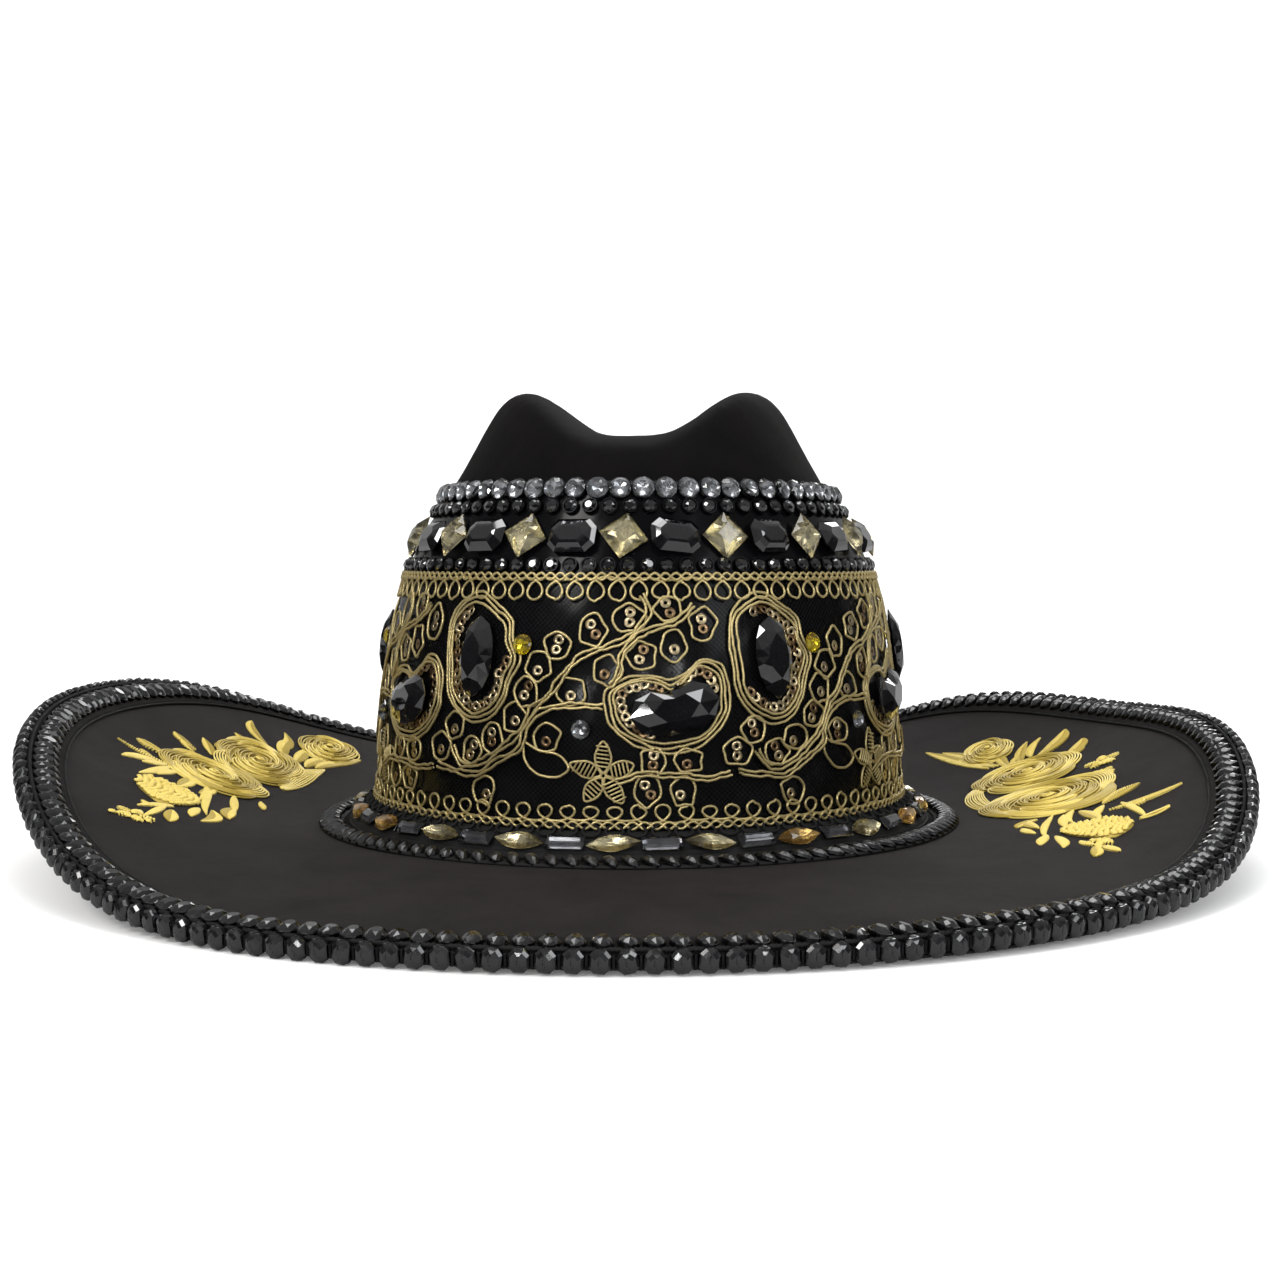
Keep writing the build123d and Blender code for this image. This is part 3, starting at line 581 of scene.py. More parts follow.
def tulle_material():
    """Hexagonal net: thin black threads with open cells."""
    material, graph = new_material("black_tulle", gray(0.01), {
        "Base Color": (0.004, 0.004, 0.004, 1), "Roughness": 0.8, "Specular IOR Level": 0.15})
    turn = graph.node("Mapping", {"Rotation": (0, 0, math.radians(45))})
    graph.link(graph.node("TexCoord").outputs["UV"], turn, "Vector")
    cells = graph.node("TexVoronoi", voronoi_dimensions="2D", feature="DISTANCE_TO_EDGE")
    cells.inputs["Scale"].default_value = 0.9
    cells.inputs["Randomness"].default_value = 0.08
    graph.link(turn.outputs["Vector"], cells, "Vector")
    strand = graph.node("Math", {1: 0.05}, operation="LESS_THAN")
    graph.link(cells.outputs["Distance"], strand, 0)
    graph.link(strand.outputs[0], graph.surface, "Alpha")
    return material


def satin_material(name, dark, light):
    """Smooth woven cloth with fine ribs."""
    material, graph = new_material(name, light, {
        "Roughness": 0.34, "Anisotropic": 0.7, "Sheen Weight": 0.4, "Sheen Roughness": 0.3})
    graph.paint(graph.noise(60, 3), (0.3, dark), (0.7, light))
    wave = graph.node("TexWave", {"Scale": 900, "Distortion": 1.0}, bands_direction="Z")
    graph.link(graph.coords(), wave, "Vector")
    graph.bump(wave.outputs["Fac"], 0.12, 0.0001)
    return material


def leather_material(name, dark, light):
    """Leather with a fine cell grain."""
    material, graph = new_material(name, light, {"Roughness": 0.48})
    graph.paint(graph.noise(45, 4), (0.3, dark), (0.7, light))
    grain = graph.node("TexVoronoi", {"Scale": 900}, feature="DISTANCE_TO_EDGE")
    graph.link(graph.coords(), grain, "Vector")
    graph.bump(grain.outputs["Distance"], 0.4, 0.0002)
    return material


FELT = napped_cloth("crown_felt", (0.0014, 0.0011, 0.0012), (0.0031, 0.0025, 0.0026), 1500,
                    0.010, (0.55, 0.46, 0.45))
SUEDE = napped_cloth("brim_suede", (0.0095, 0.0080, 0.0080), (0.0155, 0.0130, 0.0128), 1900,
                     0.03, (0.50, 0.43, 0.42))
BINDING = napped_cloth("binding_tape", (0.0060, 0.0054, 0.0052), (0.0105, 0.0094, 0.0090), 2400,
                       0.01, (0.5, 0.45, 0.42))
BOARD = napped_cloth("brim_board", gray(0.03), gray(0.06), 900, 0.0, (1, 1, 1))
PATENT = patent_material()
TULLE = tulle_material()
SATIN = satin_material("lining_satin", (0.010, 0.009, 0.009), (0.024, 0.021, 0.021))
RIBBON = satin_material("bow_ribbon", gray(0.006), gray(0.018))
LEATHER = leather_material("sweatband_leather", (0.012, 0.009, 0.007), (0.030, 0.022, 0.017))
GOLD_CORD = thread("gold_cord", (0.09, 0.068, 0.022), (0.56, 0.455, 0.215), 0.32, 0.8)
GOLD_THREAD = thread("gold_embroidery_thread", (0.30, 0.215, 0.035), (0.74, 0.585, 0.150), 0.42)
# Second, darker embroidery thread; where it fills under the rose petals it is painted shade in the
# gaps between them.
DEEP_THREAD_AND_PAINTED_SHADE = thread("deep_embroidery_thread_and_painted_shade", (0.17, 0.115, 0.015), (0.46, 0.345, 0.070), 0.45)
BLACK_THREAD = thread("black_thread", gray(0.003), gray(0.008), 0.7)
STITCH = thread("sweatband_stitch", gray(0.03), gray(0.09), 0.6, sheen=0.2)
BLACK_STONE = stone_material("black_crystal", (0.004, 0.004, 0.005))
JET = stone_material("jet_bead", (0.006, 0.006, 0.007), 0.16, 0.3)
SMOKED_BEAD = stone_material("smoked_bead", (0.005, 0.005, 0.006), 0.30, 0.0)
CHAMPAGNE_TOP = clear_material("champagne_crystal", (1.0, 0.96, 0.84))
CHAMPAGNE_FOIL = metal("champagne_foil", (1.0, 0.93, 0.66), 0.22, 0.35, 260)
AMBER_TOP = clear_material("amber_crystal", (1.0, 0.88, 0.60))
AMBER_FOIL = metal("amber_foil", (0.95, 0.70, 0.34), 0.24, 0.35, 260)
CLEAR_TOP = clear_material("clear_crystal", (0.96, 0.97, 1.0))
SILVER_FOIL = metal("silver_foil", (0.74, 0.76, 0.78), 0.16, 0.6, 200)
YELLOW_TOP = clear_material("yellow_crystal", (1.0, 0.93, 0.36))
YELLOW_FOIL = metal("yellow_foil", (1.0, 0.84, 0.14), 0.20, 0.2, 300)
SMOKE_FOIL = metal("smoke_foil", (0.20, 0.20, 0.21), 0.16, 0.5, 260)
SEQUIN_GOLD = metal("gold_sequin", (0.74, 0.60, 0.36), 0.28, 0.3, 150)
SEQUIN_DARK = metal("smoked_sequin", (0.36, 0.24, 0.13), 0.28, 0.4, 150)
GUNMETAL = metal("black_setting", (0.030, 0.030, 0.032), 0.34, 0.4, 500, 0.2)
WIRE = metal("brim_wire", (0.4, 0.4, 0.42), 0.35)


# ------------------------------------------------------------------ cut stones
def brilliant(edge, table_z, girdle_z, culet_z, table=0.5, mid=0.78, mats=(0, 0)):
    """Brilliant cut; edge(phi) is the girdle's radius. mats are the crown's and the back's."""
    phi = around_turn(16)
    rim = edge(phi)[:, None] * circle(phi)
    mid_z = girdle_z + (table_z - girdle_z) * 0.55
    layers = [(rim[::2] * table, table_z), (rim[1::2] * mid, mid_z), (rim, girdle_z),
              (rim, girdle_z - 0.35), (np.zeros((1, 2)), culet_z)]
    co = np.vstack([np.column_stack([xy, np.full(len(xy), z)]) for xy, z in layers])
    j, k = np.arange(8), np.arange(16)
    star, rim0, rim1, culet = 8, 16, 32, 48
    corners = [
        (j, star + j, (j + 1) % 8),
        (j, star + (j - 1) % 8, rim0 + 2 * j, star + j),
        (star + j, rim0 + 2 * j, rim0 + 2 * j + 1),
        (star + j, rim0 + 2 * j + 1, rim0 + (2 * j + 2) % 16),
        (rim1 + k, rim1 + (k + 1) % 16, rim0 + (k + 1) % 16, rim0 + k),
    ]
    crown = [j[None, :]] + [np.stack(facet, -1) for facet in corners]
    back = np.stack([np.full(16, culet), rim1 + (k + 1) % 16, rim1 + k], -1)
    return [(co, [(crown, mats[0]), ([back], mats[1])])]


def step_cut(outline, rings, mat=0, back_mat=None):
    """Stepped cut: outline(inset) gives the corners; rings are (inset, z) from the back up."""
    layers = [np.column_stack([outline(inset), np.full(len(outline(inset)), z)])
              for inset, z in rings]
    n = len(layers[0])
    sides = grid_faces(len(rings), n, wrap_cols=True)
    bottom = np.arange(n)[::-1][None, :]
    top = (np.arange(n) + (len(rings) - 1) * n)[None, :]
    back_mat = mat if back_mat is None else back_mat
    return [(np.vstack(layers), [([bottom, sides[:n]], back_mat), ([sides[n:], top], mat)])]


def cup(radius_x, radius_y, wall_thick, low, high, sides=22, mat=0):
    """Metal rim around a stone."""
    profile = ((0.0, low), (0.0, high - 0.25), (-0.35 * wall_thick, high),
               (-0.8 * wall_thick, high), (-wall_thick, high - 0.2), (-wall_thick, low))
    size = np.array([radius_x, radius_y])
    co, faces = ring_profile([(size + inset, z) for inset, z in profile], sides)
    return [(co, [([faces], mat)])]


def circle_edge(radius):
    return lambda phi: np.full_like(phi, radius)


def oval_edge(a, b, power=2.0):
    return lambda phi: (np.abs(np.cos(phi) / a)**power + np.abs(np.sin(phi) / b)**power)**(-1 / power)


def diamond_edge(side):
    half = side / math.sqrt(2)
    return lambda phi: half / (np.abs(np.cos(phi)) + np.abs(np.sin(phi)))


def kidney_edge(a, b):
    oval = oval_edge(a, b, 2.3)
    return lambda phi: oval(phi) * (1 - 0.34 * np.exp(-((phi - 1.75) / 0.62)**2))


def bar_outline(length, width, cut=0.0):
    def corners(inset):
        x, y, c = length / 2 - inset, width / 2 - inset, cut * (1 - inset / width)
        if not cut:
            return np.array([(-x, -y), (x, -y), (x, y), (-x, y)])
        return np.array([(-x + c, -y), (x - c, -y), (x, -y + c), (x, y - c),
                         (x - c, y), (-x + c, y), (-x, y - c), (-x, -y + c)])
    return corners


def tilted(tangent, up, normal, amount):
    """The three directions of a stone set slightly askew."""
    lean = rng.normal(0, amount, 2)
    n = unit(normal + tangent * lean[0] + up * lean[1])
    t = unit(tangent - n * (tangent @ n))
    return t, np.cross(n, t), n


def set_on_wall(shape, node, stone, lean=0.05, spin=0.0, out=0.15, turn=0.0):
    """Copies of a stone where the CAD node has its solids; spin is in radians of spread."""
    angle, h = wall_spot(solid_centres(node))
    for p, t, u, n in zip(*wall_at(angle, h, out)):
        t, u, n = tilted(t, u, n, lean)
        shape.place(stone, p, t, u, n, turn + rng.uniform(-spin, spin))


def finish_piece(shape, name, materials, node=None, smooth=True):
    """One named piece, standing for a CAD node when there is one."""
    piece = shape.build(name, materials, smooth)
    if node:
        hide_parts(node)
    return piece


def stone_row(node, name, materials, stone, lean, spin, out=0.15, turn=0.0, rim=None,
              rim_lean=0.04):
    """One kind of stone set all around the crown, each perhaps in a metal rim."""
    row = Shape()
    set_on_wall(row, node, stone, lean, spin, out, turn)
    if rim:
        set_on_wall(row, node, rim, rim_lean)
    finish_piece(row, name, materials, node, smooth=False)


FOILED = (0, 1)               # clear crown over a foiled back
CLEAR_R = 3.5                 # clear stones of the top row
BEAD_R = 2.15                 # black beads between the rows of jewels
SQUARE_SIDE = 10.4
OCTAGON = (15.2, 10.6, 2.6)   # length, width and corner cut
OVAL_HALF = (6.4, 12.4)       # half sizes along u and h
KIDNEY_HALF = (13.6, 7.6)
KIDNEY_TURN = math.radians(12)


def make_crown_stones():
    """Rows of round stones and beads above and below the squares and octagons."""
    clear = brilliant(circle_edge(CLEAR_R), 2.9, 1.3, 0.2, mats=FOILED)
    stone_row("clear_rhinestone_row", "clear_rhinestones",
              [CLEAR_TOP, SILVER_FOIL, GUNMETAL], clear, 0.10, 0.4,
              rim=cup(CLEAR_R, CLEAR_R, 0.4, 0.05, 1.25, mat=2))
    bead = brilliant(circle_edge(BEAD_R), 2.0, 0.9, 0.1)
    bead_rim = cup(BEAD_R + 0.35, BEAD_R + 0.35, 0.45, 0.05, 1.15, 16, 1)
    for level in ("upper", "middle"):
        stone_row(f"black_bead_row_{level}", f"black_beads_{level}",
                  [BLACK_STONE, GUNMETAL], bead, 0.12, 0.4, rim=bead_rim, rim_lean=0.06)
    square = brilliant(diamond_edge(SQUARE_SIDE), 4.2, 1.7, 0.2, 0.46, 0.76, FOILED)
    stone_row("champagne_square_jewels", "champagne_squares",
              [CHAMPAGNE_TOP, CHAMPAGNE_FOIL], square, 0.05, 0.16, 0.3)
    octagon = step_cut(bar_outline(*OCTAGON), ((1.2, 0.1), (0.0, 1.0), (0.0, 1.5), (1.1, 2.5),
                                               (2.3, 3.3), (3.1, 3.6)))
    stone_row("black_octagon_jewels", "black_octagons", [BLACK_STONE], octagon,
              0.05, 0.07, 0.3)


def make_lace_stones():
    """Large black stones and small bright ones among the cords."""
    oval = brilliant(oval_edge(*OVAL_HALF), 4.9, 2.2, 0.2, 0.55, 0.82)
    kidney = brilliant(kidney_edge(*KIDNEY_HALF), 4.9, 2.2, 0.2, 0.52, 0.80)
    for node, stone, name, turn in (("black_oval_stones", oval, "black_ovals", 0.0),
                                    ("black_kidney_stones", kidney, "black_kidneys", KIDNEY_TURN)):
        stone_row(node, name, [BLACK_STONE], stone, 0.03, 0.04, 0.3, turn)
    for node, radius, name, mats, slot in (
        ("yellow_rhinestones", 3.1, "yellow_stones", [YELLOW_TOP, YELLOW_FOIL], "yellow_crystal"),
        ("clear_lace_rhinestones", 2.8, "small_clear_stones", [CLEAR_TOP, SILVER_FOIL],
         "clear_crystal"),
    ):
        gem = brilliant(circle_edge(radius), 2.7, 1.3, 0.3, mats=FOILED)
        stone_row(node, name, mats, gem, 0.06, 0.4, 0.5)


# ------------------------------------------------------------------ gold lace
CORD_R = 0.50
LACE_Z = 0.95                 # centre of a cord lying on the tulle, out from the patent band
BRANCH_Z = 1.8                # centre of a cord crossing over others
TWIN_GAP = 1.24               # between the middles of a branch's two cords
LEAF_CORD_R = 0.48
OVAL_FRAME = (
    (47, 76.5), (54, 73), (59.5, 69), (60.5, 63.5), (63.5, 57.5), (60.5, 51), (59, 45.5),
    (54.5, 40.5), (48, 38.5), (41, 41.5), (36.5, 47.5), (35.5, 55), (34.5, 62), (35.5, 70),
    (40.5, 75),
)
KIDNEY_FRAME = (
    (-2.5, 48.5), (4, 52.5), (10.5, 53), (16, 51.5), (21, 54), (25.5, 57.5), (30.5, 56),
    (33, 52), (33.5, 46.5), (33, 42), (28, 35), (20.5, 31.5), (12, 31.3), (5, 33.5),
    (-0.5, 38), (-2.5, 43),
)
FRAME_INSETS = (-0.2, 1.15, 2.5)
SEQUIN_INSET = 4.6            # middle of the sequin chain inside a frame
LEAVES = (                    # along, height, radius, turn in degrees
    (-30.5, 40.5, 3.9, 10), (-27, 48, 4.0, 30), (-23.5, 55.3, 4.0, 50), (-17.8, 61.5, 3.9, 15),
    (-7, 66, 4.1, 0), (4, 69.5, 4.2, 20), (15.5, 72.2, 3.6, 40), (26, 67.5, 4.4, 10),
    (16.8, 61.6, 4.0, 60), (7.5, 58.8, 3.9, 30), (-2.8, 54.5, 3.9, 0), (-13, 48.2, 4.0, 45),
    (-20, 34.8, 3.9, 20), (-52.5, 37, 3.7, 30), (-38, 34, 3.9, 60), (-45, 30, 3.6, 0),
    (-40, 18.6, 3.8, 10), (10.8, 28.3, 3.6, 0), (20.8, 28.5, 3.6, 30), (9.2, 19.8, 3.8, 50),
    (19.2, 19.6, 3.8, 20), (-58, 30.5, 4.0, 15),
)
POD = (
    (-26.8, 33), (-26.4, 28), (-22, 24), (-16, 23.8), (-13.2, 26.4), (-16.4, 30), (-22.5, 31.2),
)
BRANCHES = (
    ((-58, 25), (-50, 23.6), (-42, 23.4), (-35, 27.5), (-28, 31.5), (-26.5, 37), (-22, 42.2),
     (-14, 44.2), (-3.2, 44.0)),
    ((-52, 31), (-48, 25.8), (-41, 26.8), (-34, 31.3), (-28, 36.5), (-24, 43.5), (-19.5, 47),
     (-15, 53.5), (-9, 59), (-1, 61.6), (5.5, 65.5), (9.5, 71), (7.5, 76)),
    ((-1.5, 50), (1.2, 54), (1.8, 59), (6, 64), (12, 66.5), (17, 68), (20.5, 70.3), (23, 73)),
    ((0.5, 22.5), (6.5, 24.5), (13, 24.6), (20, 24), (27, 23.3), (33, 24.5)),
)
STAR_AT = (-3.2, 24.3)
STAR_REACH = 9.6


def inset_outline(outline, inset):
    """An outline drawn in towards its middle."""
    p = np.array(outline, float)
    arm = p - p.mean(axis=0)
    return p.mean(axis=0) + arm * (1 - inset / np.linalg.norm(arm, axis=1, keepdims=True))


def lay_cord(shape, path, out, radius=CORD_R, closed=False, wobble=0.10, **style):
    """Cord along a path of (u, h) on the crown."""
    line = wander(curve(path, CORD_STEP, closed), wobble, closed)
    point, _, _, normal = wall(line[:, 0], line[:, 1], out)
    tube(shape, point, normal, radius, closed, **style)


def leaf_outline(along, height, radius, turn):
    """Blunt five-cornered outline, a little different each time."""
    phi = around_turn(10)
    lobes = 1 + 0.055 * np.cos(5 * phi) + rng.normal(0, 0.055, 10)
    phi = phi + math.radians(turn)
    stretch = rng.uniform(0.88, 1.12)
    r = radius * lobes
    return np.stack([along + r * stretch * np.cos(phi), height + r / stretch * np.sin(phi)], -1)


def make_lace_cords():
    """Cords that frame the black stones, twin branches, leaf loops and star flowers."""
    frames, strands, loops, stars = Shape(), Shape(), Shape(), Shape()
    for repeat in range(REPEATS):
        shift = np.array([repeat * CELL, 0.0])
        for outline in (OVAL_FRAME, KIDNEY_FRAME):
            for k, inset in enumerate(FRAME_INSETS):
                path = inset_outline(outline, inset) + shift + rng.normal(0, 0.18, (len(outline), 2))
                lay_cord(frames, path, LACE_Z + 0.1 * k, closed=True)
        for branch in BRANCHES:
            path = np.array(branch, float) + shift
            side = unit(left_of(np.gradient(path, axis=0)))
            for off in (-TWIN_GAP / 2, TWIN_GAP / 2):
                lay_cord(strands, path + side * off, BRANCH_Z, wobble=0.2)
        for along, height, radius, turn in LEAVES:
            path = leaf_outline(along, height, radius + 0.15, turn) + shift
            lay_cord(loops, path, LACE_Z + 0.15, LEAF_CORD_R, True, 0.08)
        lay_cord(loops, np.array(POD) + shift, LACE_Z + 0.15, LEAF_CORD_R, True, 0.1)
        make_star(stars, STAR_AT[0] + shift[0], STAR_AT[1])
    for shape, name, node in ((frames, "frame_cords", "cabochon_frames"),
                              (strands, "branch_cords", "gold_branch_cords"),
                              (loops, "leaf_cords", "gold_leaf_loops"),
                              (stars, "star_flowers", "gold_star_flowers")):
        finish_piece(shape, name, [GOLD_CORD], node)


def make_star(shape, u, h):
    """Five petals outlined in cord, ribbed with cross stitches."""
    for k in range(5):
        ahead = circle(TURN * k / 5 + TURN / 4 + rng.normal(0, 0.06))
        side = left_of(ahead)
        reach = STAR_REACH + rng.normal(0, 0.4)
        outline = [(0.9, 0.3), (3.6, 2.1), (6.6, 2.0), (reach, 0.0), (6.6, -2.0), (3.6, -2.1),
                   (0.9, -0.3)]
        path = [np.array([u, h]) + ahead * f + side * s for f, s in outline]
        lay_cord(shape, path, LACE_Z + 0.2, 0.42, True, 0.05)
        for f in np.arange(2.6, reach - 1.2, 1.15):
            ends = [np.array([u, h]) + ahead * (f + 0.3 * s) + side * s * 2.0 for s in (-1, 0, 1)]
            lay_cord(shape, ends, LACE_Z + 0.9, 0.33, wobble=0.0, taper=2)


def sequin(radius=1.65, hole=0.55, sides=16):
    """Slightly cupped disc with a hole."""
    middle = radius * 0.62
    co, faces = ring_profile(((hole, 0.10), (middle, 0.12), (radius, 0.30), (radius, 0.40),
                              (middle, 0.24), (hole, 0.24)), sides)
    return co, faces[:, [1, 0, 3, 2]]


DARK_SHARE = 0.3              # share of the sequins that are smoked
PAIR_SHARE = 0.62             # share of the leaves that hold two sequins
CHAIN_STEP = 2.3              # between the sequins of a chain


def make_sequins():
    """Sequins in the leaves and, overlapping in chains, inside the frames."""
    co, faces = sequin()
    disc = [[(co, [([faces], mat)])] for mat in (0, 1)]
    shape = Shape()

    def put(u, h, out, lean):
        p, t, up, n = wall(u, h, out)
        t, up, n = tilted(t, up, n, lean)
        shape.place(disc[int(rng.random() < DARK_SHARE)], p, t, up, n, rng.uniform(0, TURN))

    for shift in CELL * np.arange(REPEATS):
        for along, height, _, _ in LEAVES:
            lean = rng.uniform(-0.9, 0.9)
            put(along + shift + lean, height - 1.1, 0.62, 0.06)
            if rng.random() < PAIR_SHARE:
                put(along + shift - lean, height + 1.7, 0.85, 0.08)
        for outline, skip in ((OVAL_FRAME, 0.45), (KIDNEY_FRAME, 0.5)):
            line = curve(inset_outline(outline, SEQUIN_INSET), CHAIN_STEP, True)
            start = rng.integers(0, len(line))
            for i in range(int(len(line) * (1 - skip) + 6)):
                u, h = line[(start + i) % len(line)]
                put(u + shift + rng.normal(0, 0.15), h + rng.normal(0, 0.15), 0.65, 0.16)
    finish_piece(shape, "sequins", [SEQUIN_GOLD, SEQUIN_DARK], "gold_sequins")


LOOP_COUNT = 84
LOOP_STEPS = 40               # points along one loop
BRAID_R = 0.46


def trochoid(count, swing, tall, height, hang):
    """Closed row of loops around the crown, hanging down or standing up, as (u, h)."""
    s = np.arange(count * LOOP_STEPS) / LOOP_STEPS
    pitch = PATTERN_LENGTH / count
    side = 1 if hang else -1
    jitter = np.repeat(rng.normal(0, 0.12, count), LOOP_STEPS)
    u = pitch * s - swing * np.sin(TURN * s)
    h = height - side * (tall / 2) * np.cos(TURN * s) * (1 + jitter)
    return np.stack([u, h], -1)


def around_cord(shape, path, out):
    """Cord that closes around the crown, through (u, h)."""
    point, _, _, normal = wall(path[:, 0], path[:, 1], out)
    tube(shape, point, normal, BRAID_R, True, sides=7)


def wave_row(count, height, tall, phase):
    """One strand of the plait that the loops hang from, as (u, h)."""
    steps = 14
    s = np.arange(count * steps) / steps
    pitch = PATTERN_LENGTH / count
    return np.stack([pitch * s, height + tall / 2 * np.sin(TURN * s + phase)], -1)


def make_loop_braids():
    """Loops hanging from a plait above the lace and standing on one below it."""
    for word, swing, tall, loops_h, plait_h in (("upper", 4.1, 6.0, 77.9, 81.4),
                                                ("lower", 3.6, 4.8, 13.2, 9.9)):
        braid = Shape()
        loops = trochoid(LOOP_COUNT, swing, tall, loops_h, word == "upper")
        around_cord(braid, loops, LACE_Z + 0.1)
        for phase in (0, math.pi):
            around_cord(braid, wave_row(LOOP_COUNT, plait_h, 2.0, phase), LACE_Z + 0.5)
        finish_piece(braid, f"{word}_loop_braid", [GOLD_CORD],
                     f"gold_loop_braid_{word}")


# ------------------------------------------------------------------ trim at the crown's foot
GIMP_LOW, GIMP_HIGH = box_mm("base_trim_gimp")
GIMP_LEAN = 7.5               # how far the gimp's top stands inside its foot


def cove(angle, share, gap=0.0):
    """Points, tangents, ups and normals on the padded gimp; share 0 is its foot, 1 its top."""
    angle, share = np.broadcast_arrays(np.asarray(angle, float), np.asarray(share, float))
    tall = GIMP_HIGH[2] - GIMP_LOW[2]
    a, b = GIMP_HIGH[0] - GIMP_LEAN * share, GIMP_HIGH[1] - GIMP_LEAN * share
    point = oval_point(a, b, GIMP_LOW[2] + tall * share, angle)
    tangent = unit(np.stack([a * np.cos(angle), b * np.sin(angle), np.zeros_like(a)], -1))
    flat = np.stack([tangent[..., 1], -tangent[..., 0], np.zeros_like(a)], -1)
    size = math.hypot(GIMP_LEAN, tall)
    normal = flat * (tall / size) + UP * (GIMP_LEAN / size)
    up = np.cross(normal, tangent)
    return point + normal * np.asarray(gap)[..., None], tangent, up, normal


BEAD_SLANT = math.radians(32) # of the foot beads, away from pointing outward
BEAD_SHINGLE = 0.38           # lean of the foot beads over their neighbours


def make_foot_cloth():
    """Ribbed black gimp, tape and thread loops under the stones at the crown's foot."""
    rows = []
    for share in np.linspace(-0.06, 1.04, 34):
        bulge = 0.36 * math.sin(math.pi * min(max(share, 0), 1)) ** 0.5
        rib = 0.35 * abs(math.sin(share * math.pi * 5.5))
        twist = 0.10 * np.sin(ANGLE * 330 + share * 30)
        rows.append(cove(ANGLE, share, bulge + rib + twist)[0])
    gimp = Shape()
    sheet(gimp, rows + [cove(ANGLE, share, -1.2)[0] for share in (1.04, -0.06)])
    finish_piece(gimp, "foot_gimp", [BLACK_THREAD], "base_trim_gimp")

    low, high = box_mm("base_trim_tape")
    weave = 0.06 * np.sin(ANGLE * 360)
    profile = ((8.2, low[2] + 0.1), (8.0, high[2] + 0.15), (4.0, high[2] + 0.32),
               (0.3, high[2] + 0.15), (0.0, low[2] + 0.1))
    tape = Shape()
    sheet(tape, [oval_point(high[0] - inset, high[1] - inset, z + weave, ANGLE)
                 for inset, z in profile])
    finish_piece(tape, "foot_tape", [BLACK_THREAD], "base_trim_tape")

    loops = Shape()
    s = np.arange(LOOP_COUNT * LOOP_STEPS) / LOOP_STEPS
    angle = TURN * s / LOOP_COUNT - 0.045 * np.sin(TURN * s)
    point, _, _, normal = cove(angle, 1.02 - 0.26 * np.cos(TURN * s), 1.15)
    tube(loops, point, normal, 0.55, True, sides=7)
    finish_piece(loops, "black_loops", [BLACK_THREAD], "black_loop_braid")


NAVETTE = (8.2, 3.1, 1.45)    # half length, half width and power of the outline
BAGUETTE = (11.8, 4.8)        # length and width
FOOT_BEAD_HALF = (2.0, 3.9)   # half sizes of a bead's oval
AMBER_SHARE = 0.45            # share of the navettes that are amber


def make_foot_stones():
    """Navettes and baguettes on the gimp, and slanting beads on the brim around it."""
    jewels = Shape()
    stone = brilliant(oval_edge(*NAVETTE), 3.0, 1.3, 0.2, mats=FOILED)
    for centre in solid_centres("base_navette_jewels"):
        kind = 2 if rng.random() < AMBER_SHARE else 0
        tinted = [(co, [(faces, mat + kind) for faces, mat in groups]) for co, groups in stone]
        set_on_cove(jewels, centre, tinted, 0.06)
    finish_piece(jewels, "base_navettes", [CHAMPAGNE_TOP, CHAMPAGNE_FOIL, AMBER_TOP, AMBER_FOIL],
                 "base_navette_jewels", smooth=False)

    bars = Shape()
    baguette = step_cut(bar_outline(*BAGUETTE),
                        ((0.8, 0.1), (0.0, 1.0), (0.0, 1.3), (1.1, 2.5), (1.6, 2.7)), 0, 1)
    for centre in solid_centres("base_baguette_jewels"):
        set_on_cove(bars, centre, baguette, 0.05)
    finish_piece(bars, "base_baguettes", [CLEAR_TOP, SMOKE_FOIL],
                 "base_baguette_jewels", smooth=False)

    scales = Shape()
    half_x, half_y = FOOT_BEAD_HALF
    bead = brilliant(oval_edge(half_x, half_y), 2.1, 0.9, 0.1, 0.46, 0.76)
    rim = cup(half_x + 0.2, half_y + 0.2, 0.35, 0.0, 0.9, 16, 1)
    for centre in solid_centres("base_bead_row"):
        angle = math.atan2(centre[0], -centre[1] * BRIM_INNER[0] / BRIM_INNER[1])
        t = np.array([math.cos(angle), math.sin(angle), 0.0])
        t, u, n = tilted(t, np.cross(UP, t), UP + t * BEAD_SHINGLE, 0.05)
        spin = BEAD_SLANT + rng.uniform(-0.1, 0.1)
        for part in (bead, rim):
            scales.place(part, centre - n * 0.5, t, u, n, spin)
    finish_piece(scales, "base_beads", [SMOKED_BEAD, GUNMETAL], "base_bead_row",
                 smooth=False)


def set_on_cove(shape, centre, stone, lean):
    """A stone on the gimp at the angle of a CAD stone's middle."""
    inset = 3.4
    angle = math.atan2(centre[0] / (GIMP_HIGH[0] - inset), -centre[1] / (GIMP_HIGH[1] - inset))
    p, t, u, n = cove(angle, 0.45, 0.75)
    t, u, n = tilted(t, u, n, lean)
    shape.place(stone, p, t, u, n, rng.uniform(-0.06, 0.06))


# ------------------------------------------------------------------ cloth sheets
def ripple(angle, across, size):
    """Slow, slight unevenness of a cloth surface."""
    return size * (np.sin(3 * angle + 2.1 * across) + 0.6 * np.sin(7 * angle - 3.7 * across + 1.3)
                   + 0.35 * np.sin(17 * angle + 6.0 * across + 0.4)
                   + 0.2 * np.sin(41 * angle - 9.0 * across + 2.2)) / 2.15


def sheet(shape, rows):
    """Closed ring-shaped body through rows of points that go around the hat."""
    shape.add(np.vstack(rows), [grid_faces(len(rows), len(rows[0]), True, True)])


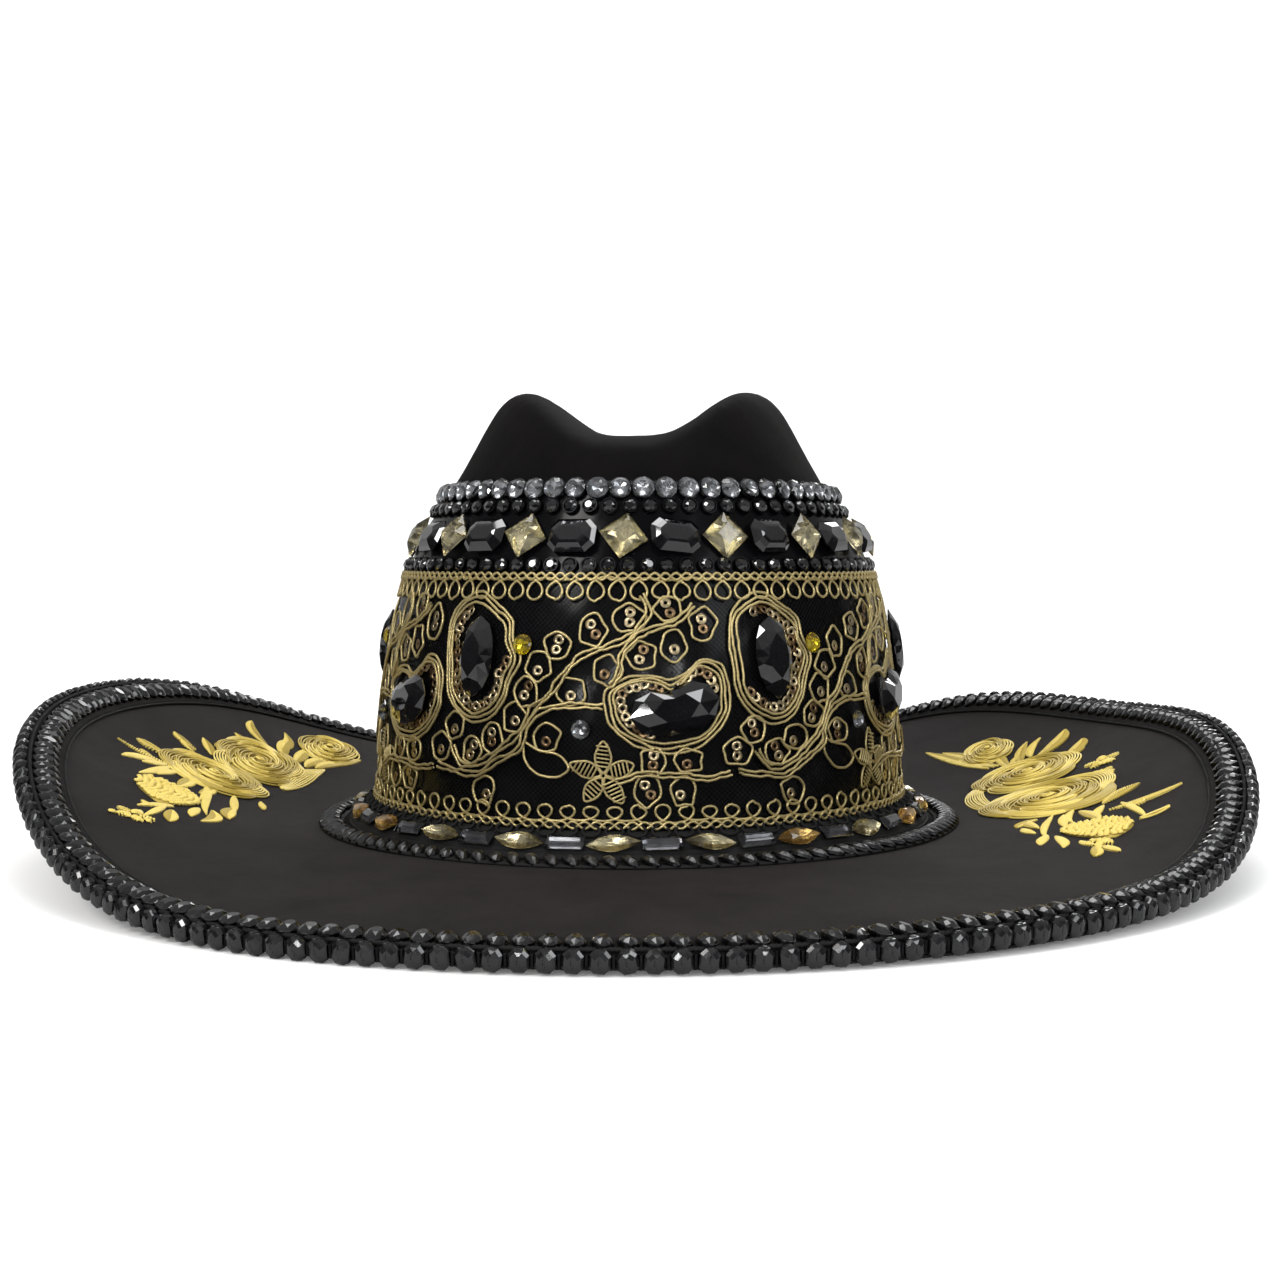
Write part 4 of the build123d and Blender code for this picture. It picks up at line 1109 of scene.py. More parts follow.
def make_brim_covers():
    """Suede on top of the brim and underneath, each with its own slight waves."""
    for node, name, top, thick in (
        ("brim_top_cover", "brim_suede_top", 0.0, 0.8),
        ("brim_under_cover", "brim_suede_under", -2.85, 0.75),
    ):
        rows, back = [], []
        for t in np.linspace(0.0, 1.0, 110):
            wave = ripple(ANGLE, t * 4, 0.16)
            rows.append(brim_point(ANGLE, t, top + (wave if top == 0 else 0)))
            back.append(brim_point(ANGLE, t, top - thick - (wave if top < 0 else 0)))
        cover = Shape()
        sheet(cover, rows + back[::-1])
        finish_piece(cover, name, [SUEDE], node)


def edge_frame(angle):
    """Points on the brim's cut edge with the directions around, outward and up."""
    return brim_at(angle, np.ones_like(angle))


def edge_place(angle, outward, lift):
    """Points that stand off the brim's cut edge."""
    p, _, o, n = edge_frame(angle)
    return p + o * np.asarray(outward)[..., None] + n * np.asarray(lift)[..., None]


BINDING_LAP = 8.0             # width of the binding on each side of the brim
NOSE_REACH = box_mm("brim_edge_binding")[1][0] - BRIM_OUTER[0]


def make_binding():
    """Ribbed binding folded over the brim's edge, with a cord at its seam and two at the beads."""
    angle = around_turn(2160)
    rib = 0.09 * np.sin(angle * 1080)
    middle = -BRIM_THICK / 2
    half = BRIM_THICK / 2 + 1.05
    rows = [(BINDING_LAP, 0.1), (BINDING_LAP, 0.85), (BINDING_LAP - 0.5, 1.08)]
    rows += [(inset, 1.1) for inset in np.linspace(BINDING_LAP - 1.2, 0.8, 6)]
    frames = [brim_at(angle, edge_t(inset)) for inset, _ in rows]
    outline = [p + n * (lift + rib)[:, None] for (p, _, _, n), (_, lift) in zip(frames, rows)]
    for phi in np.radians(np.linspace(75, -75, 11)):
        outline.append(edge_place(angle, (NOSE_REACH + rib) * math.cos(phi),
                                  middle + (half + rib) * math.sin(phi)))
    outline += [p + n * (2 * middle - lift - rib)[:, None]
                for (p, _, _, n), (_, lift) in zip(frames[::-1], rows[::-1])]
    outline += [edge_place(angle, -2.0, 2 * middle - 0.05), edge_place(angle, -2.0, 0.05)]
    for row in outline:
        row[:, 2] = np.maximum(row[:, 2], 0.0)
    binding = Shape()
    sheet(binding, outline)
    finish_piece(binding, "edge_binding", [BINDING], "brim_edge_binding")

    cords = Shape()
    fine = around_turn(3600)
    p, _, _, n = brim_at(fine, edge_t(BINDING_LAP + 0.4))
    tube(cords, p + n * 0.55, n, 0.6, True, sides=7)
    for outward, lift, radius in ((2.2, 0.95, 0.75), (2.6, -4.35, 0.6)):
        p = edge_place(fine, outward, lift)
        p[:, 2] = np.maximum(p[:, 2], radius + 0.02)
        tube(cords, p, edge_frame(fine)[3], radius, True, sides=7)
    finish_piece(cords, "edge_cords", [BLACK_THREAD])


EDGE_OVAL_HALF = (2.5, 3.9)   # half width around the brim and across its edge
EDGE_BLOCK = (5.1, 5.8, 1.3)  # width around, height and corner cut


def make_edge_beads():
    """Jet stones in dark settings around the brim: radial ovals on top, square ones outside."""
    upper = Shape()
    half_x, half_y = EDGE_OVAL_HALF
    oval = brilliant(oval_edge(half_x, half_y), 2.35, 1.1, 0.1)
    oval_rim = cup(half_x + 0.3, half_y + 0.3, 0.4, 0.0, 1.15, 20, 1)
    centres = solid_centres("edge_bead_row_upper")
    angle, t = brim_spot(centres[:, 0], centres[:, 1])
    for p, a, o, n in zip(*brim_at(angle, np.minimum(t, 1.0), 1.15)):
        n = unit(n + a * 0.20)
        a, u, n = tilted(a - n * (a @ n), -o, n, 0.05)
        upper.place(oval, p, a, u, n, rng.normal(0, 0.06))
        upper.place(oval_rim, p, a, u, n)
    finish_piece(upper, "edge_stones_upper", [JET, GUNMETAL],
                 "edge_bead_row_upper", smooth=False)

    outer = Shape()
    width, height, _ = EDGE_BLOCK
    gem = step_cut(bar_outline(*EDGE_BLOCK), ((0.4, -0.5), (0.0, 0.2), (0.0, 0.8), (0.55, 1.45),
                                              (1.35, 1.85), (2.1, 1.95)))
    rim = cup(width / 2 + 0.2, height / 2 + 0.2, 0.3, -0.9, 0.55, 20, 1)
    link = step_cut(bar_outline(1.0, 3.2), ((0.0, -0.9), (0.0, 0.35), (0.2, 0.55)), 1)
    centres = solid_centres("edge_bead_row_outer")
    angle, t = brim_spot(centres[:, 0], centres[:, 1])
    base, tangent, outward, normal = edge_frame(angle)
    foot = np.minimum(((centres - base) * outward).sum(1), NOSE_REACH + 1.0) - 0.35
    rise = ((centres - base) * normal).sum(1)
    spot = base + outward * foot[:, None] + normal * rise[:, None]
    between = (spot + np.roll(spot, -1, 0)) / 2
    for p, middle, a, u, n in zip(spot, between, tangent, normal, outward):
        a2, u2, n2 = tilted(a, u, n, 0.07)
        outer.place(gem, p, a2, u2, n2, rng.normal(0, 0.1))
        outer.place(rim, p, a2, u2, n2)
        outer.place(link, middle, a, u, n)
    finish_piece(outer, "edge_stones_outer", [JET, GUNMETAL],
                 "edge_bead_row_outer", smooth=False)


# ------------------------------------------------------------------ brim embroidery
THREAD_PITCH = 0.78           # between neighbouring threads
THREAD_R = 0.38
LAID_STEP = 1.3               # between points along a lengthwise thread
THIN_HALF = 1.3               # leaves thinner than this are stitched lengthwise
NARROW_HALF = 2.1             # and those up to this half width in one piece
BROAD_HALF = 4.0              # wider ones are petals, stitched lengthwise too


def on_brim(xy, lift):
    """Plan positions set on the brim, a little above its surface."""
    shape = xy.shape[:-1]
    flat = xy.reshape(-1, 2)
    angle, t = brim_spot(flat[:, 0], flat[:, 1])
    z = brim_z(angle, t).reshape(shape)
    return np.concatenate([xy, (z + lift)[..., None]], -1)


def satin(shape, spine, low, high, lift, pad, slant=0.0, points=6, mat=0):
    """Raised parallel threads laid across a spine, from offset low to offset high."""
    line = curve(spine, THREAD_PITCH)
    s = np.linspace(0, 1, len(line))
    a, b = low(s), high(s)
    keep = np.abs(b - a) > 0.25
    ahead = unit(np.gradient(line, axis=0))
    line, ahead, a, b = line[keep], ahead[keep], a[keep], b[keep]
    n = len(line)
    if n < 2:
        return
    k = np.linspace(0, 1, points)
    offset = a[:, None] * (1 - k) + b[:, None] * k
    uneven = rng.normal(0, 0.04, (n, 1))
    xy = (line[:, None] + left_of(ahead)[:, None] * offset[..., None]
          + ahead[:, None] * (slant * np.abs(offset) + uneven)[..., None])
    arch = np.sin(np.pi * k) ** 0.6
    width = np.minimum(np.abs(b - a) / 4.0, 1.0)
    height = lift - 0.12 + arch * (0.12 + pad * width[:, None]) + rng.normal(0, 0.015, (n, 1))
    add_threads(shape, on_brim(xy, height), ahead[:, None], mat)


def add_threads(shape, centre, across, mat):
    """Four-sided threads through a (threads, points, 3) grid; across is their flat side way."""
    count, points = centre.shape[:2]
    ring = circle(around_turn(4) + TURN / 8) * THREAD_R
    level = np.concatenate([across, np.zeros((*across.shape[:2], 1))], -1)[:, :, None]
    co = centre[:, :, None] + (level * ring[:, :1] + UP * ring[:, 1:])
    ends = np.stack([np.arange(4), np.arange(4)[::-1] + (points - 1) * 4])
    first = (np.arange(count) * points * 4)[:, None, None]
    shape.add(co, [(faces[None] + first).reshape(-1, 4)
                   for faces in (grid_faces(points, 4, wrap_cols=True), ends)], mat)


def laid_threads(shape, path, width, lift, pad, mat=0):
    """Threads that run along a spine and close up towards both its ends."""
    line = curve(path, LAID_STEP)
    half = width(np.linspace(0, 1, len(line)))
    side = left_of(unit(np.gradient(line, axis=0)))
    count = max(3, int(2 * half.max() / THREAD_PITCH))
    k = np.linspace(-1, 1, count)[:, None]
    xy = line[None] + side[None] * (k * half)[..., None]
    crown = pad * min(half.max() / 2, 1.0) * (1 - k**2) * (half / half.max())
    lifted = on_brim(xy, lift + crown + rng.normal(0, 0.07, (count, 1)))
    add_threads(shape, lifted, side[None], mat)


def leaf_width(half):
    """Half width of a pointed shape along its length."""
    return lambda s: half * np.sin(np.pi * np.clip(s, 0, 1) ** 0.85) ** 0.9 + 0.12


def stitched_leaf(shape, base, tip, half, side, lift=0.25, pad=0.55):
    """Leaf in two slanting halves of different tone, in one when it is narrow, or lengthwise."""
    base, tip = np.array(base, float), np.array(tip, float)
    run = tip - base
    bow = left_of(run) * rng.uniform(-0.10, 0.10)
    spine = np.array([base, base + run * 0.35 + bow, base + run * 0.7 + bow, tip])
    spine[:, 0] *= side
    width = leaf_width(half * 0.85)
    if half < THIN_HALF or half > BROAD_HALF:
        laid_threads(shape, spine, width, lift, pad)
    elif half < NARROW_HALF:
        satin(shape, spine, lambda s: -width(s), width, lift, pad, 0.25)
    else:
        satin(shape, spine, np.zeros_like, width, lift, pad, 0.7)
        satin(shape, spine, np.zeros_like, lambda s: -width(s), lift, pad, 0.7, mat=1)


def seed_leaf(shape, base, tip, half, side):
    """Broad leaf of crosswise stitches, covered with rows of knots."""
    base, tip = np.array(base, float), np.array(tip, float)
    run = tip - base
    across = left_of(run) / np.linalg.norm(run)
    width = leaf_width(half)
    spine = np.array([base, base + run * 0.5, tip])
    spine[:, 0] *= side
    satin(shape, spine, lambda s: -width(s), width, 0.1, 0.2, points=10, mat=1)
    for row in np.arange(0.10, 0.92, 1.7 / np.linalg.norm(run)):
        reach = float(width(np.array(row)))
        for off in np.arange(-reach, reach + 0.1, 2.0):
            spot = base + run * row + across * (off + rng.normal(0, 0.2))
            knot(shape, spot * np.array([side, 1.0]), 0.85, 0.75)


def stitched_rose(shape, x, y, reach_x, reach_y, side):
    """Rose of long overlapping crescent petals, higher towards the middle."""
    centre = np.array([x * side, y])
    reach = np.array([reach_x, reach_y])
    width = leaf_width(reach_x * 0.92)
    spine = centre + np.array([[0, -reach_y * 0.88], [0, 0], [0, reach_y * 0.88]])
    # The underlay is in the darker thread: painted shade that shows in the gaps between the petals.
    satin(shape, spine, lambda s: -width(s), width, 0.1, 0.2, points=12, mat=1)
    for ring, count, share, half, lift in ((0, 6, 0.88, 0.17, 0.45), (1, 5, 0.66, 0.13, 0.85),
                                           (2, 4, 0.45, 0.11, 1.25), (3, 3, 0.25, 0.10, 1.6)):
        for k in range(count):
            mid = TURN * (k + 0.5 * ring) / count + rng.normal(0, 0.18)
            span = rng.uniform(0.60, 0.95) * TURN / count
            phi = np.linspace(mid - span, mid + span, 7)
            drift = 0.16 * (phi - mid) / span
            bulge = 1 + 0.10 * np.cos((phi - mid) / span * math.pi / 2) + drift + rng.normal(0, 0.03)
            path = centre + circle(phi) * reach * (share * bulge)[:, None]
            petal = leaf_width(reach_x * half)
            laid_threads(shape, path, petal, lift + 0.18 * (k % 2), 0.9, (k + ring) % 2)
    knot(shape, centre, reach_x * 0.12, 2.2)


def knot(shape, centre, radius, lift):
    """French knot: a small coil of thread."""
    s = np.linspace(0, 1, 26)
    turns = TURN * 2.2 * s
    r = radius * (1 - 0.55 * s)
    path = on_brim(centre + circle(turns) * r[:, None], lift + 0.55 * s)
    tube(shape, path, UP, 0.30, sides=6, ply=0.2)


def small_flower(shape, x, y, radius, side):
    """Five short petals around a knot."""
    turn = rng.uniform(0, TURN)
    centre = np.array([x, y])
    for k in range(5):
        ahead = circle(turn + TURN * k / 5)
        stitched_leaf(shape, centre + ahead * 0.8, centre + ahead * radius, radius * 0.30, side,
                      0.35, 0.5)
    knot(shape, centre * (side, 1), 0.9, 0.9)


def knot_cluster(shape, x, y, reach, side):
    """Loose knots scattered around a place."""
    for _ in range(8):
        spot = np.array([x * side, y]) + rng.normal(0, reach * 0.45, 2)
        knot(shape, spot, 0.75, 0.35)


# Places are distances outward from the hat's middle line and backward, in millimetres. Left
# and right are as seen from the front; the nodes are named for the wearer's left and right.
ROSES = {                     # x, y, reach across, reach along
    "left": ((130, 104, 9.5, 20), (143, 46, 14, 26), (148, 3, 16, 19)),
    "right": ((127, 105, 8.5, 13), (137, 58, 17, 20), (138, 6, 20, 26)),
}
SEED_LEAVES = {               # base x, y, tip x, y, half width
    "left": ((152, -33, 146, -67, 9.5),),
    "right": ((144, -42, 148, -69, 10.5),),
}
STITCHED_LEAVES = {           # base x, y, tip x, y, half width
    "left": (
        (129, 24, 125, 72, 5.5), (146, 71, 158, 92, 2.6), (143, 74, 147, 100, 2.4),
        (147, 60, 158, 67, 2.8), (139, 66, 144, 92, 2.8), (135, 66, 136, 92, 2.6),
        (131, 66, 127, 90, 2.6), (128, 70, 120, 94, 2.4), (123, 84, 118, 106, 2.4),
        (152, 52, 158, 40, 2.6), (156, 28, 163, 42, 2.4), (160, 24, 170, 30, 2.8),
        (160, 20, 166, 27, 2.4), (163, 0, 174, -1, 3.6), (155, -10, 177, -14, 1.6),
        (165, -13, 170, -11, 1.6), (163, -14, 170, -30, 1.9), (160, -12, 165, -24, 1.5),
        (159, -12, 161, -40, 1.7), (156, -14, 158, -30, 1.5), (151, -10, 150, -34, 2.6),
        (146, -12, 141, -40, 1.5), (144, -12, 144, -30, 2.2), (142, -22, 133, -60, 1.4),
        (134, -50, 131, -73, 2.6), (137, -54, 135, -70, 1.8), (137, -12, 129, -42, 1.6),
        (131, -34, 127, -56, 2.8), (129, -8, 125, -20, 1.4), (144, -66, 144, -90, 1.3),
        (141, -70, 137, -86, 2.6), (146, -76, 150, -72, 1.5), (142, -64, 149, -80, 1.4),
    ),
    "right": (
        (124, -4, 124, 68, 4.1), (126, 84, 105, 126, 2.8), (128, 84, 111, 120, 2.6),
        (130, 84, 116, 112, 2.4), (131, 80, 124, 106, 2.4), (133, 78, 131, 104, 2.2),
        (137, 78, 142, 102, 2.4), (142, 78, 156, 99, 3.9), (141, 82, 147, 101, 2.0),
        (136, 76, 138, 90, 2.2), (150, 64, 160, 80, 3.4), (153, 62, 159, 70, 2.6),
        (152, -22, 166, -9, 3.6), (152, -32, 177, -25, 2.0), (159, -34, 164, -30, 1.6),
        (159, -51, 169, -45, 1.1), (157, -26, 161, -50, 1.4), (152, -24, 148, -38, 1.8),
        (144, -24, 148, -42, 2.6), (139, -25, 137, -46, 1.8), (143, -20, 140, -40, 1.6),
        (136, -22, 129, -60, 1.4), (130, -56, 126, -72, 2.0), (132, -59, 132, -78, 2.0),
        (131, -24, 123, -36, 2.4), (127, -24, 129, -42, 2.4), (124, -40, 127, -51, 1.9),
        (146, -68, 142, -84, 1.3), (141, -79, 139, -93, 2.2), (143, -80, 147, -88, 1.9),
        (138, -70, 142, -78, 1.6),
    ),
}
SMALL_FLOWERS = {             # x, y, petal length
    "left": ((146, -92, 6.5),),
    "right": ((161, 39, 6.6), (158, 22, 5.4), (143, -74, 5.0)),
}


def make_embroidery():
    """A spray of roses, leaves and small flowers on each side of the brim."""
    for word, side in (("left", -1), ("right", 1)):
        spray = Shape()
        for base_x, base_y, tip_x, tip_y, half in STITCHED_LEAVES[word]:
            stitched_leaf(spray, (base_x, base_y), (tip_x, tip_y), half, side)
        for base_x, base_y, tip_x, tip_y, half in SEED_LEAVES[word]:
            seed_leaf(spray, (base_x, base_y), (tip_x, tip_y), half, side)
        for x, y, reach_x, reach_y in ROSES[word]:
            stitched_rose(spray, x, y, reach_x, reach_y, side)
        for x, y, petal in SMALL_FLOWERS[word]:
            small_flower(spray, x, y, petal, side)
            knot_cluster(spray, x, y - 2, petal * 0.8, side)
        wearer = "right" if word == "left" else "left"
        finish_piece(spray, f"embroidery_{word}", [GOLD_THREAD, DEEP_THREAD_AND_PAINTED_SHADE],
                     f"brim_embroidery_{wearer}")


# ------------------------------------------------------------------ crown, band and lining
def ray_grid(tree, z, directions, inner):
    """First hits of rays from the hat's middle line outward, or from far outside towards it."""
    reach = 400.0
    hits = np.zeros_like(directions)
    for i, way in enumerate(directions):
        if inner:
            hit = tree.ray_cast(Vector(UP * z), Vector(way))[0]
        else:
            hit = tree.ray_cast(Vector(UP * z + way * reach), Vector(-way))[0]
        hits[i] = hit if hit else hits[i - 1]
    return hits


SHOULDER_H = 88.0             # rays run level up to here and fan out above it
ROW_STEP = 2.2                # height between the level rows


def crown_rows(tree, around, low, inner):
    """Rows of points over the crown, from a height up to its middle."""
    flat = oval_point(1, 1, 0, around_turn(around))
    rows = [ray_grid(tree, CROWN_FOOT + h, flat, inner) for h in np.arange(low, SHOULDER_H, ROW_STEP)]
    for tilt in np.radians(np.arange(0, 90, 2.0)):
        way = flat * math.cos(tilt) + UP * math.sin(tilt)
        rows.append(ray_grid(tree, CROWN_FOOT + SHOULDER_H, way, inner))
    return bridge_gaps(np.array(rows))


def bridge_gaps(rows):
    """Fill points whose ray met no surface from the rows on both sides of the gap."""
    for k in range(1, len(rows) - 1):
        missed = (rows[k] == 0).all(-1)
        if missed.any():
            after = k + 1
            while (rows[after][missed] == 0).all(-1).any():
                after += 1
            share = 1 / (after - k + 1)
            rows[k][missed] = rows[k - 1][missed] * (1 - share) + rows[after][missed] * share
    return rows


def smooth_rows(rows, times):
    """Rows of points averaged with their neighbours around and up."""
    for _ in range(times):
        rows = (np.roll(rows, 1, 1) + 2 * rows + np.roll(rows, -1, 1)) / 4
        rows[1:-1] = (rows[:-2] + 2 * rows[1:-1] + rows[2:]) / 4
    return rows


def row_normals(rows):
    """Outward directions at every point of the rows."""
    across = np.roll(rows, -1, 1) - np.roll(rows, 1, 1)
    return unit(np.cross(across, np.gradient(rows, axis=0)), 1e-9)


def dome(shape, rows, inner_rows):
    """Closed shell between an outer and an inner dome of rows that end near the middle."""
    count, around = rows.shape[:2]
    top = rows[-1].mean(axis=0)
    inner_top = inner_rows[-1].mean(axis=0)
    co = np.vstack([rows.reshape(-1, 3), inner_rows.reshape(-1, 3), top[None], inner_top[None]])
    outer = grid_faces(count, around, wrap_cols=True)
    inside = (outer + count * around)[:, ::-1]
    j = np.arange(around)
    j1 = (j + 1) % around
    last = (count - 1) * around
    foot = np.stack([j, j + count * around, j1 + count * around, j1], -1)
    cap = np.stack([last + j, last + j1, np.full(around, 2 * count * around)], -1)
    inner_cap = np.stack([last + j1 + count * around, last + j + count * around,
                          np.full(around, 2 * count * around + 1)], -1)
    shape.add(co, [outer, inside, foot, cap, inner_cap])


FELT_WALL = 2.2               # thickness of the felt


def make_crown():
    """Felt crown, creased from front to back, with a wall of even thickness."""
    around = 480
    rows = smooth_rows(crown_rows(ray_tree("crown_shell"), around, 0.2, False), 2)
    normal = row_normals(rows)
    level = np.arange(len(rows))[:, None]
    rows = rows + normal * ripple(around_turn(around), level * 0.12, 0.22)[..., None]
    felt = Shape()
    dome(felt, rows, rows - normal * FELT_WALL)
    finish_piece(felt, "crown_felt", [FELT], "crown_shell")


def make_band():
    """Patent leather around the crown with slight wrinkles, and the tulle over it."""
    u = ANGLE / TURN * PATTERN_LENGTH
    low, high = [corner[2] - CROWN_FOOT for corner in box_mm("band_backing")]
    heights = np.linspace(low + 0.2, high - 0.2, 64)
    outside, inside = [], []
    for h in heights:
        fold = ripple(ANGLE * 2, h * 0.09, 0.16) - 0.14
        edge = 0.5 * max(0, 1 - min(h - heights[0], heights[-1] - h))
        outside.append(wall(u, h, fold - edge)[0])
        inside.append(wall(u, h, -0.75)[0])
    patent = Shape()
    sheet(patent, outside + inside[::-1])
    finish_piece(patent, "patent_band", [PATENT], "band_backing")

    net = Shape()
    low, high = [corner[2] - CROWN_FOOT for corner in box_mm("lace_ground")]
    levels = 34
    rows = [wall(u, h, 0.22)[0] for h in np.linspace(low, high, levels)]
    net.add(np.vstack(rows), [grid_faces(levels, AROUND, wrap_cols=True)])
    piece = finish_piece(net, "tulle_ground", [TULLE], "lace_ground")
    corner = np.empty(len(piece.data.loops), dtype=np.int64)
    piece.data.loops.foreach_get("vertex_index", corner)
    column = (corner % AROUND).reshape(-1, 4)
    closing = np.ptp(column, axis=1) > 1
    column[closing] += AROUND * (column[closing] == 0)
    across = column.ravel() / AROUND * PATTERN_LENGTH
    up = corner // AROUND * (high - low) / (levels - 1)
    uv = piece.data.uv_layers.new(name="net")
    uv.data.foreach_set("uv", np.stack([across, up], -1).ravel())


def make_lining():
    """Satin lining: a gathered side piece and a gently pleated round tip."""
    angle = around_turn(960)
    low, high = box_mm("lining_side")
    rows = smooth_rows(crown_rows(ray_tree("lining_side", "lining_tip"), len(angle),
                                  low[2] - CROWN_FOOT + 0.5, True), 1)
    normal = row_normals(rows)
    seam = int((high[2] - low[2]) / ROW_STEP)
    count = len(rows)
    level = np.arange(count)[:, None]
    height = np.clip(level / seam, 0, 1)
    beyond = np.clip((level - seam) / (count - seam), 0, 1)
    pleat = np.cos(96 * angle + 1.5 * np.sin(5 * angle)) + 0.5 * np.cos(57 * angle + 2)
    fold = 0.10 + pleat * (0.18 + 0.45 * height**3) * (1 - beyond) ** 4
    fold = fold + 0.5 * np.exp(-((level - seam) / 0.9) ** 2)
    rows = rows - normal * (0.55 + fold)[..., None]
    back = rows + normal * 0.3
    side, tip = Shape(), Shape()
    sheet(side, list(rows[:seam + 1]) + list(back[:seam + 1])[::-1])
    dome(tip, back[seam:], rows[seam:])
    finish_piece(side, "lining_sides", [SATIN], "lining_side")
    finish_piece(tip, "lining_crown_tip", [SATIN], "lining_tip")


def make_sweatband():
    """Leather band inside the crown's foot, with a reed at its edge and two rows of stitches."""
    low, high = box_mm("sweatband")
    tree = ray_tree("sweatband")
    flat = oval_point(1, 1, 0, ANGLE)
    face = smooth_rows(np.array([ray_grid(tree, z, flat, True)
                                 for z in np.linspace(low[2] + 0.3, high[2] - 0.3, 26)]), 1)
    normal = row_normals(face)
    level = np.linspace(0, 1, len(face))[:, None]
    dent = sum(depth * np.exp(-((level - seam) / 0.02) ** 2)
               for depth, seam in ((0.25, 0.93), (0.2, 0.07)))
    wavy = ripple(ANGLE, level * 3, 0.12)
    face = face + normal * (0.15 + dent + wavy)[..., None]
    band = Shape()
    sheet(band, list(face) + list(face + normal * 0.8)[::-1])
    finish_piece(band, "sweatband_leather", [LEATHER], "sweatband")

    stitches = Shape()
    for row in (2, len(face) - 3):
        for i in range(0, AROUND, 4):
            ends = [face[row, (i + k) % AROUND] - normal[row, (i + k) % AROUND] * lift
                    for k, lift in ((0, -0.1), (1, 0.3), (2, 0.3), (3, -0.1))]
            path = curve(ends, 0.5)
            tube(stitches, path, -normal[row, i], 0.3, sides=6, ply=0.2)
    finish_piece(stitches, "sweatband_stitching", [STITCH])

    reed_low, reed_high = box_mm("sweatband_reed")
    radius = (reed_high[2] - reed_low[2]) / 2
    path = oval_point(reed_high[0] - radius, reed_high[1] - radius,
                      (reed_low[2] + reed_high[2]) / 2, around_turn(1800))
    reed = Shape()
    tube(reed, path, UP, radius - 0.1, True, sides=12, ply=0.06)
    finish_piece(reed, "sweatband_reed_cord", [LEATHER], "sweatband_reed")


def make_bow():
    """Small flat ribbon bow sewn at the back of the sweatband."""
    low, high = box_mm("sweatband_bow")
    centre = (low + high) / 2
    size = high - low
    bow = Shape()
    ahead = np.array([0.0, -1.0, 0.0])

    def ribbon(points, width, thick=0.5):
        """A strip along points, slightly fluted across its width."""
        path = curve(points, 0.6)
        across = unit(np.cross(unit(np.gradient(path, axis=0)), ahead))
        n = len(path)
        s = np.linspace(-1, 1, 9)
        w = np.broadcast_to(width, n)[:, None, None] / 2
        front = path[:, None] + across[:, None] * (s[None, :, None] * w)
        front = front + ahead * (0.18 * np.cos(s * 6.0))[None, :, None]
        co = np.concatenate([front, (front - ahead * thick)[:, ::-1]], 1)
        cols = co.shape[1]
        caps = np.stack([np.arange(cols)[::-1], np.arange(cols) + (n - 1) * cols])
        bow.add(co, [grid_faces(n, cols, wrap_cols=True), caps])

    half = size[0] / 2 - 1.0
    near = min(size[1] * 0.35, 1.6)
    for side in (-1, 1):
        loop = [(0, 0, 0), (half * 0.45, -near, 1.6), (half * 0.95, -near * 0.8, 1.2),
                (half * 0.95, near * 0.3, -0.8), (half * 0.45, near * 0.4, -0.9), (0, 0, 0)]
        points = centre + np.array(loop) * (side, 1, 1)
        s = np.linspace(0, 1, len(curve(points, 0.6)))
        ribbon(points, 2.2 + (size[2] * 0.62 - 2.2) * np.sin(np.pi * s) ** 0.5)
    ribbon([centre + np.array([0, -near * 0.9, z]) for z in (size[2] * 0.28, 0.0, -size[2] * 0.28)],
           3.2, 1.2)
    finish_piece(bow, "bow_ribbon", [RIBBON], "sweatband_bow")


def dress_hidden_nodes():
    """Materials of the two CAD parts that stay as they are inside the brim."""
    for node, material in (("brim_core", BOARD), ("brim_edge_wire", WIRE)):
        for slot in NODES[node].material_slots:
            slot.material = material


# ------------------------------------------------------------------ stage, light and camera
FLOOR_GLOW = 0.10             # own light of the floor, as seen and as reflected
BOUNCE_GLOW = 0.9             # extra light that it gives to soft surfaces
FLOOR_IN_STONES = 0.30        # gray of the floor as stones reflect it


def make_stage():
    """Pale floor that curves up into a backdrop behind the hat, clear when seen from below."""
    profile = [(-2600, 0), (-900, 0), (900, 0), (1500, 0), (1850, 60), (2150, 240), (2350, 560),
               (2430, 1000), (2450, 2600)]
    line = curve(profile, 60)
    xs = np.linspace(-3200, 3200, 30)
    floor_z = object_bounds()[0][2] / MM - 0.02
    co = np.array([[(x, y, z + floor_z) for x in xs] for y, z in line])
    shape = Shape()
    shape.add(co, [grid_faces(len(line), len(xs))])
    material, graph = new_material("studio_paper", gray(0.9), {
        "Roughness": 0.95, "Specular IOR Level": 0.1, "Emission Color": (1, 1, 1, 1)})
    graph.paint(graph.noise(30, 4), (0.3, gray(0.90)), (0.7, gray(0.93)))
    path = graph.node("LightPath")
    glow = graph.node("Math", {1: BOUNCE_GLOW, 2: FLOOR_GLOW}, operation="MULTIPLY_ADD")
    graph.link(path.outputs["Is Diffuse Ray"], glow, 0)
    graph.link(glow.outputs[0], graph.surface, "Emission Strength")
    dim = graph.node("BsdfDiffuse", {"Color": (*gray(FLOOR_IN_STONES), 1)})
    seen = graph.mix_shader(path.outputs["Is Glossy Ray"], graph.surface, dim)
    below = graph.node("NewGeometry").outputs["Backfacing"]
    both = graph.mix_shader(below, seen, graph.node("BsdfTransparent"))
    graph.link(both.outputs["Shader"], graph.nodes["Material Output"], "Surface")
    shape.build("studio_floor", [material], ride=False)


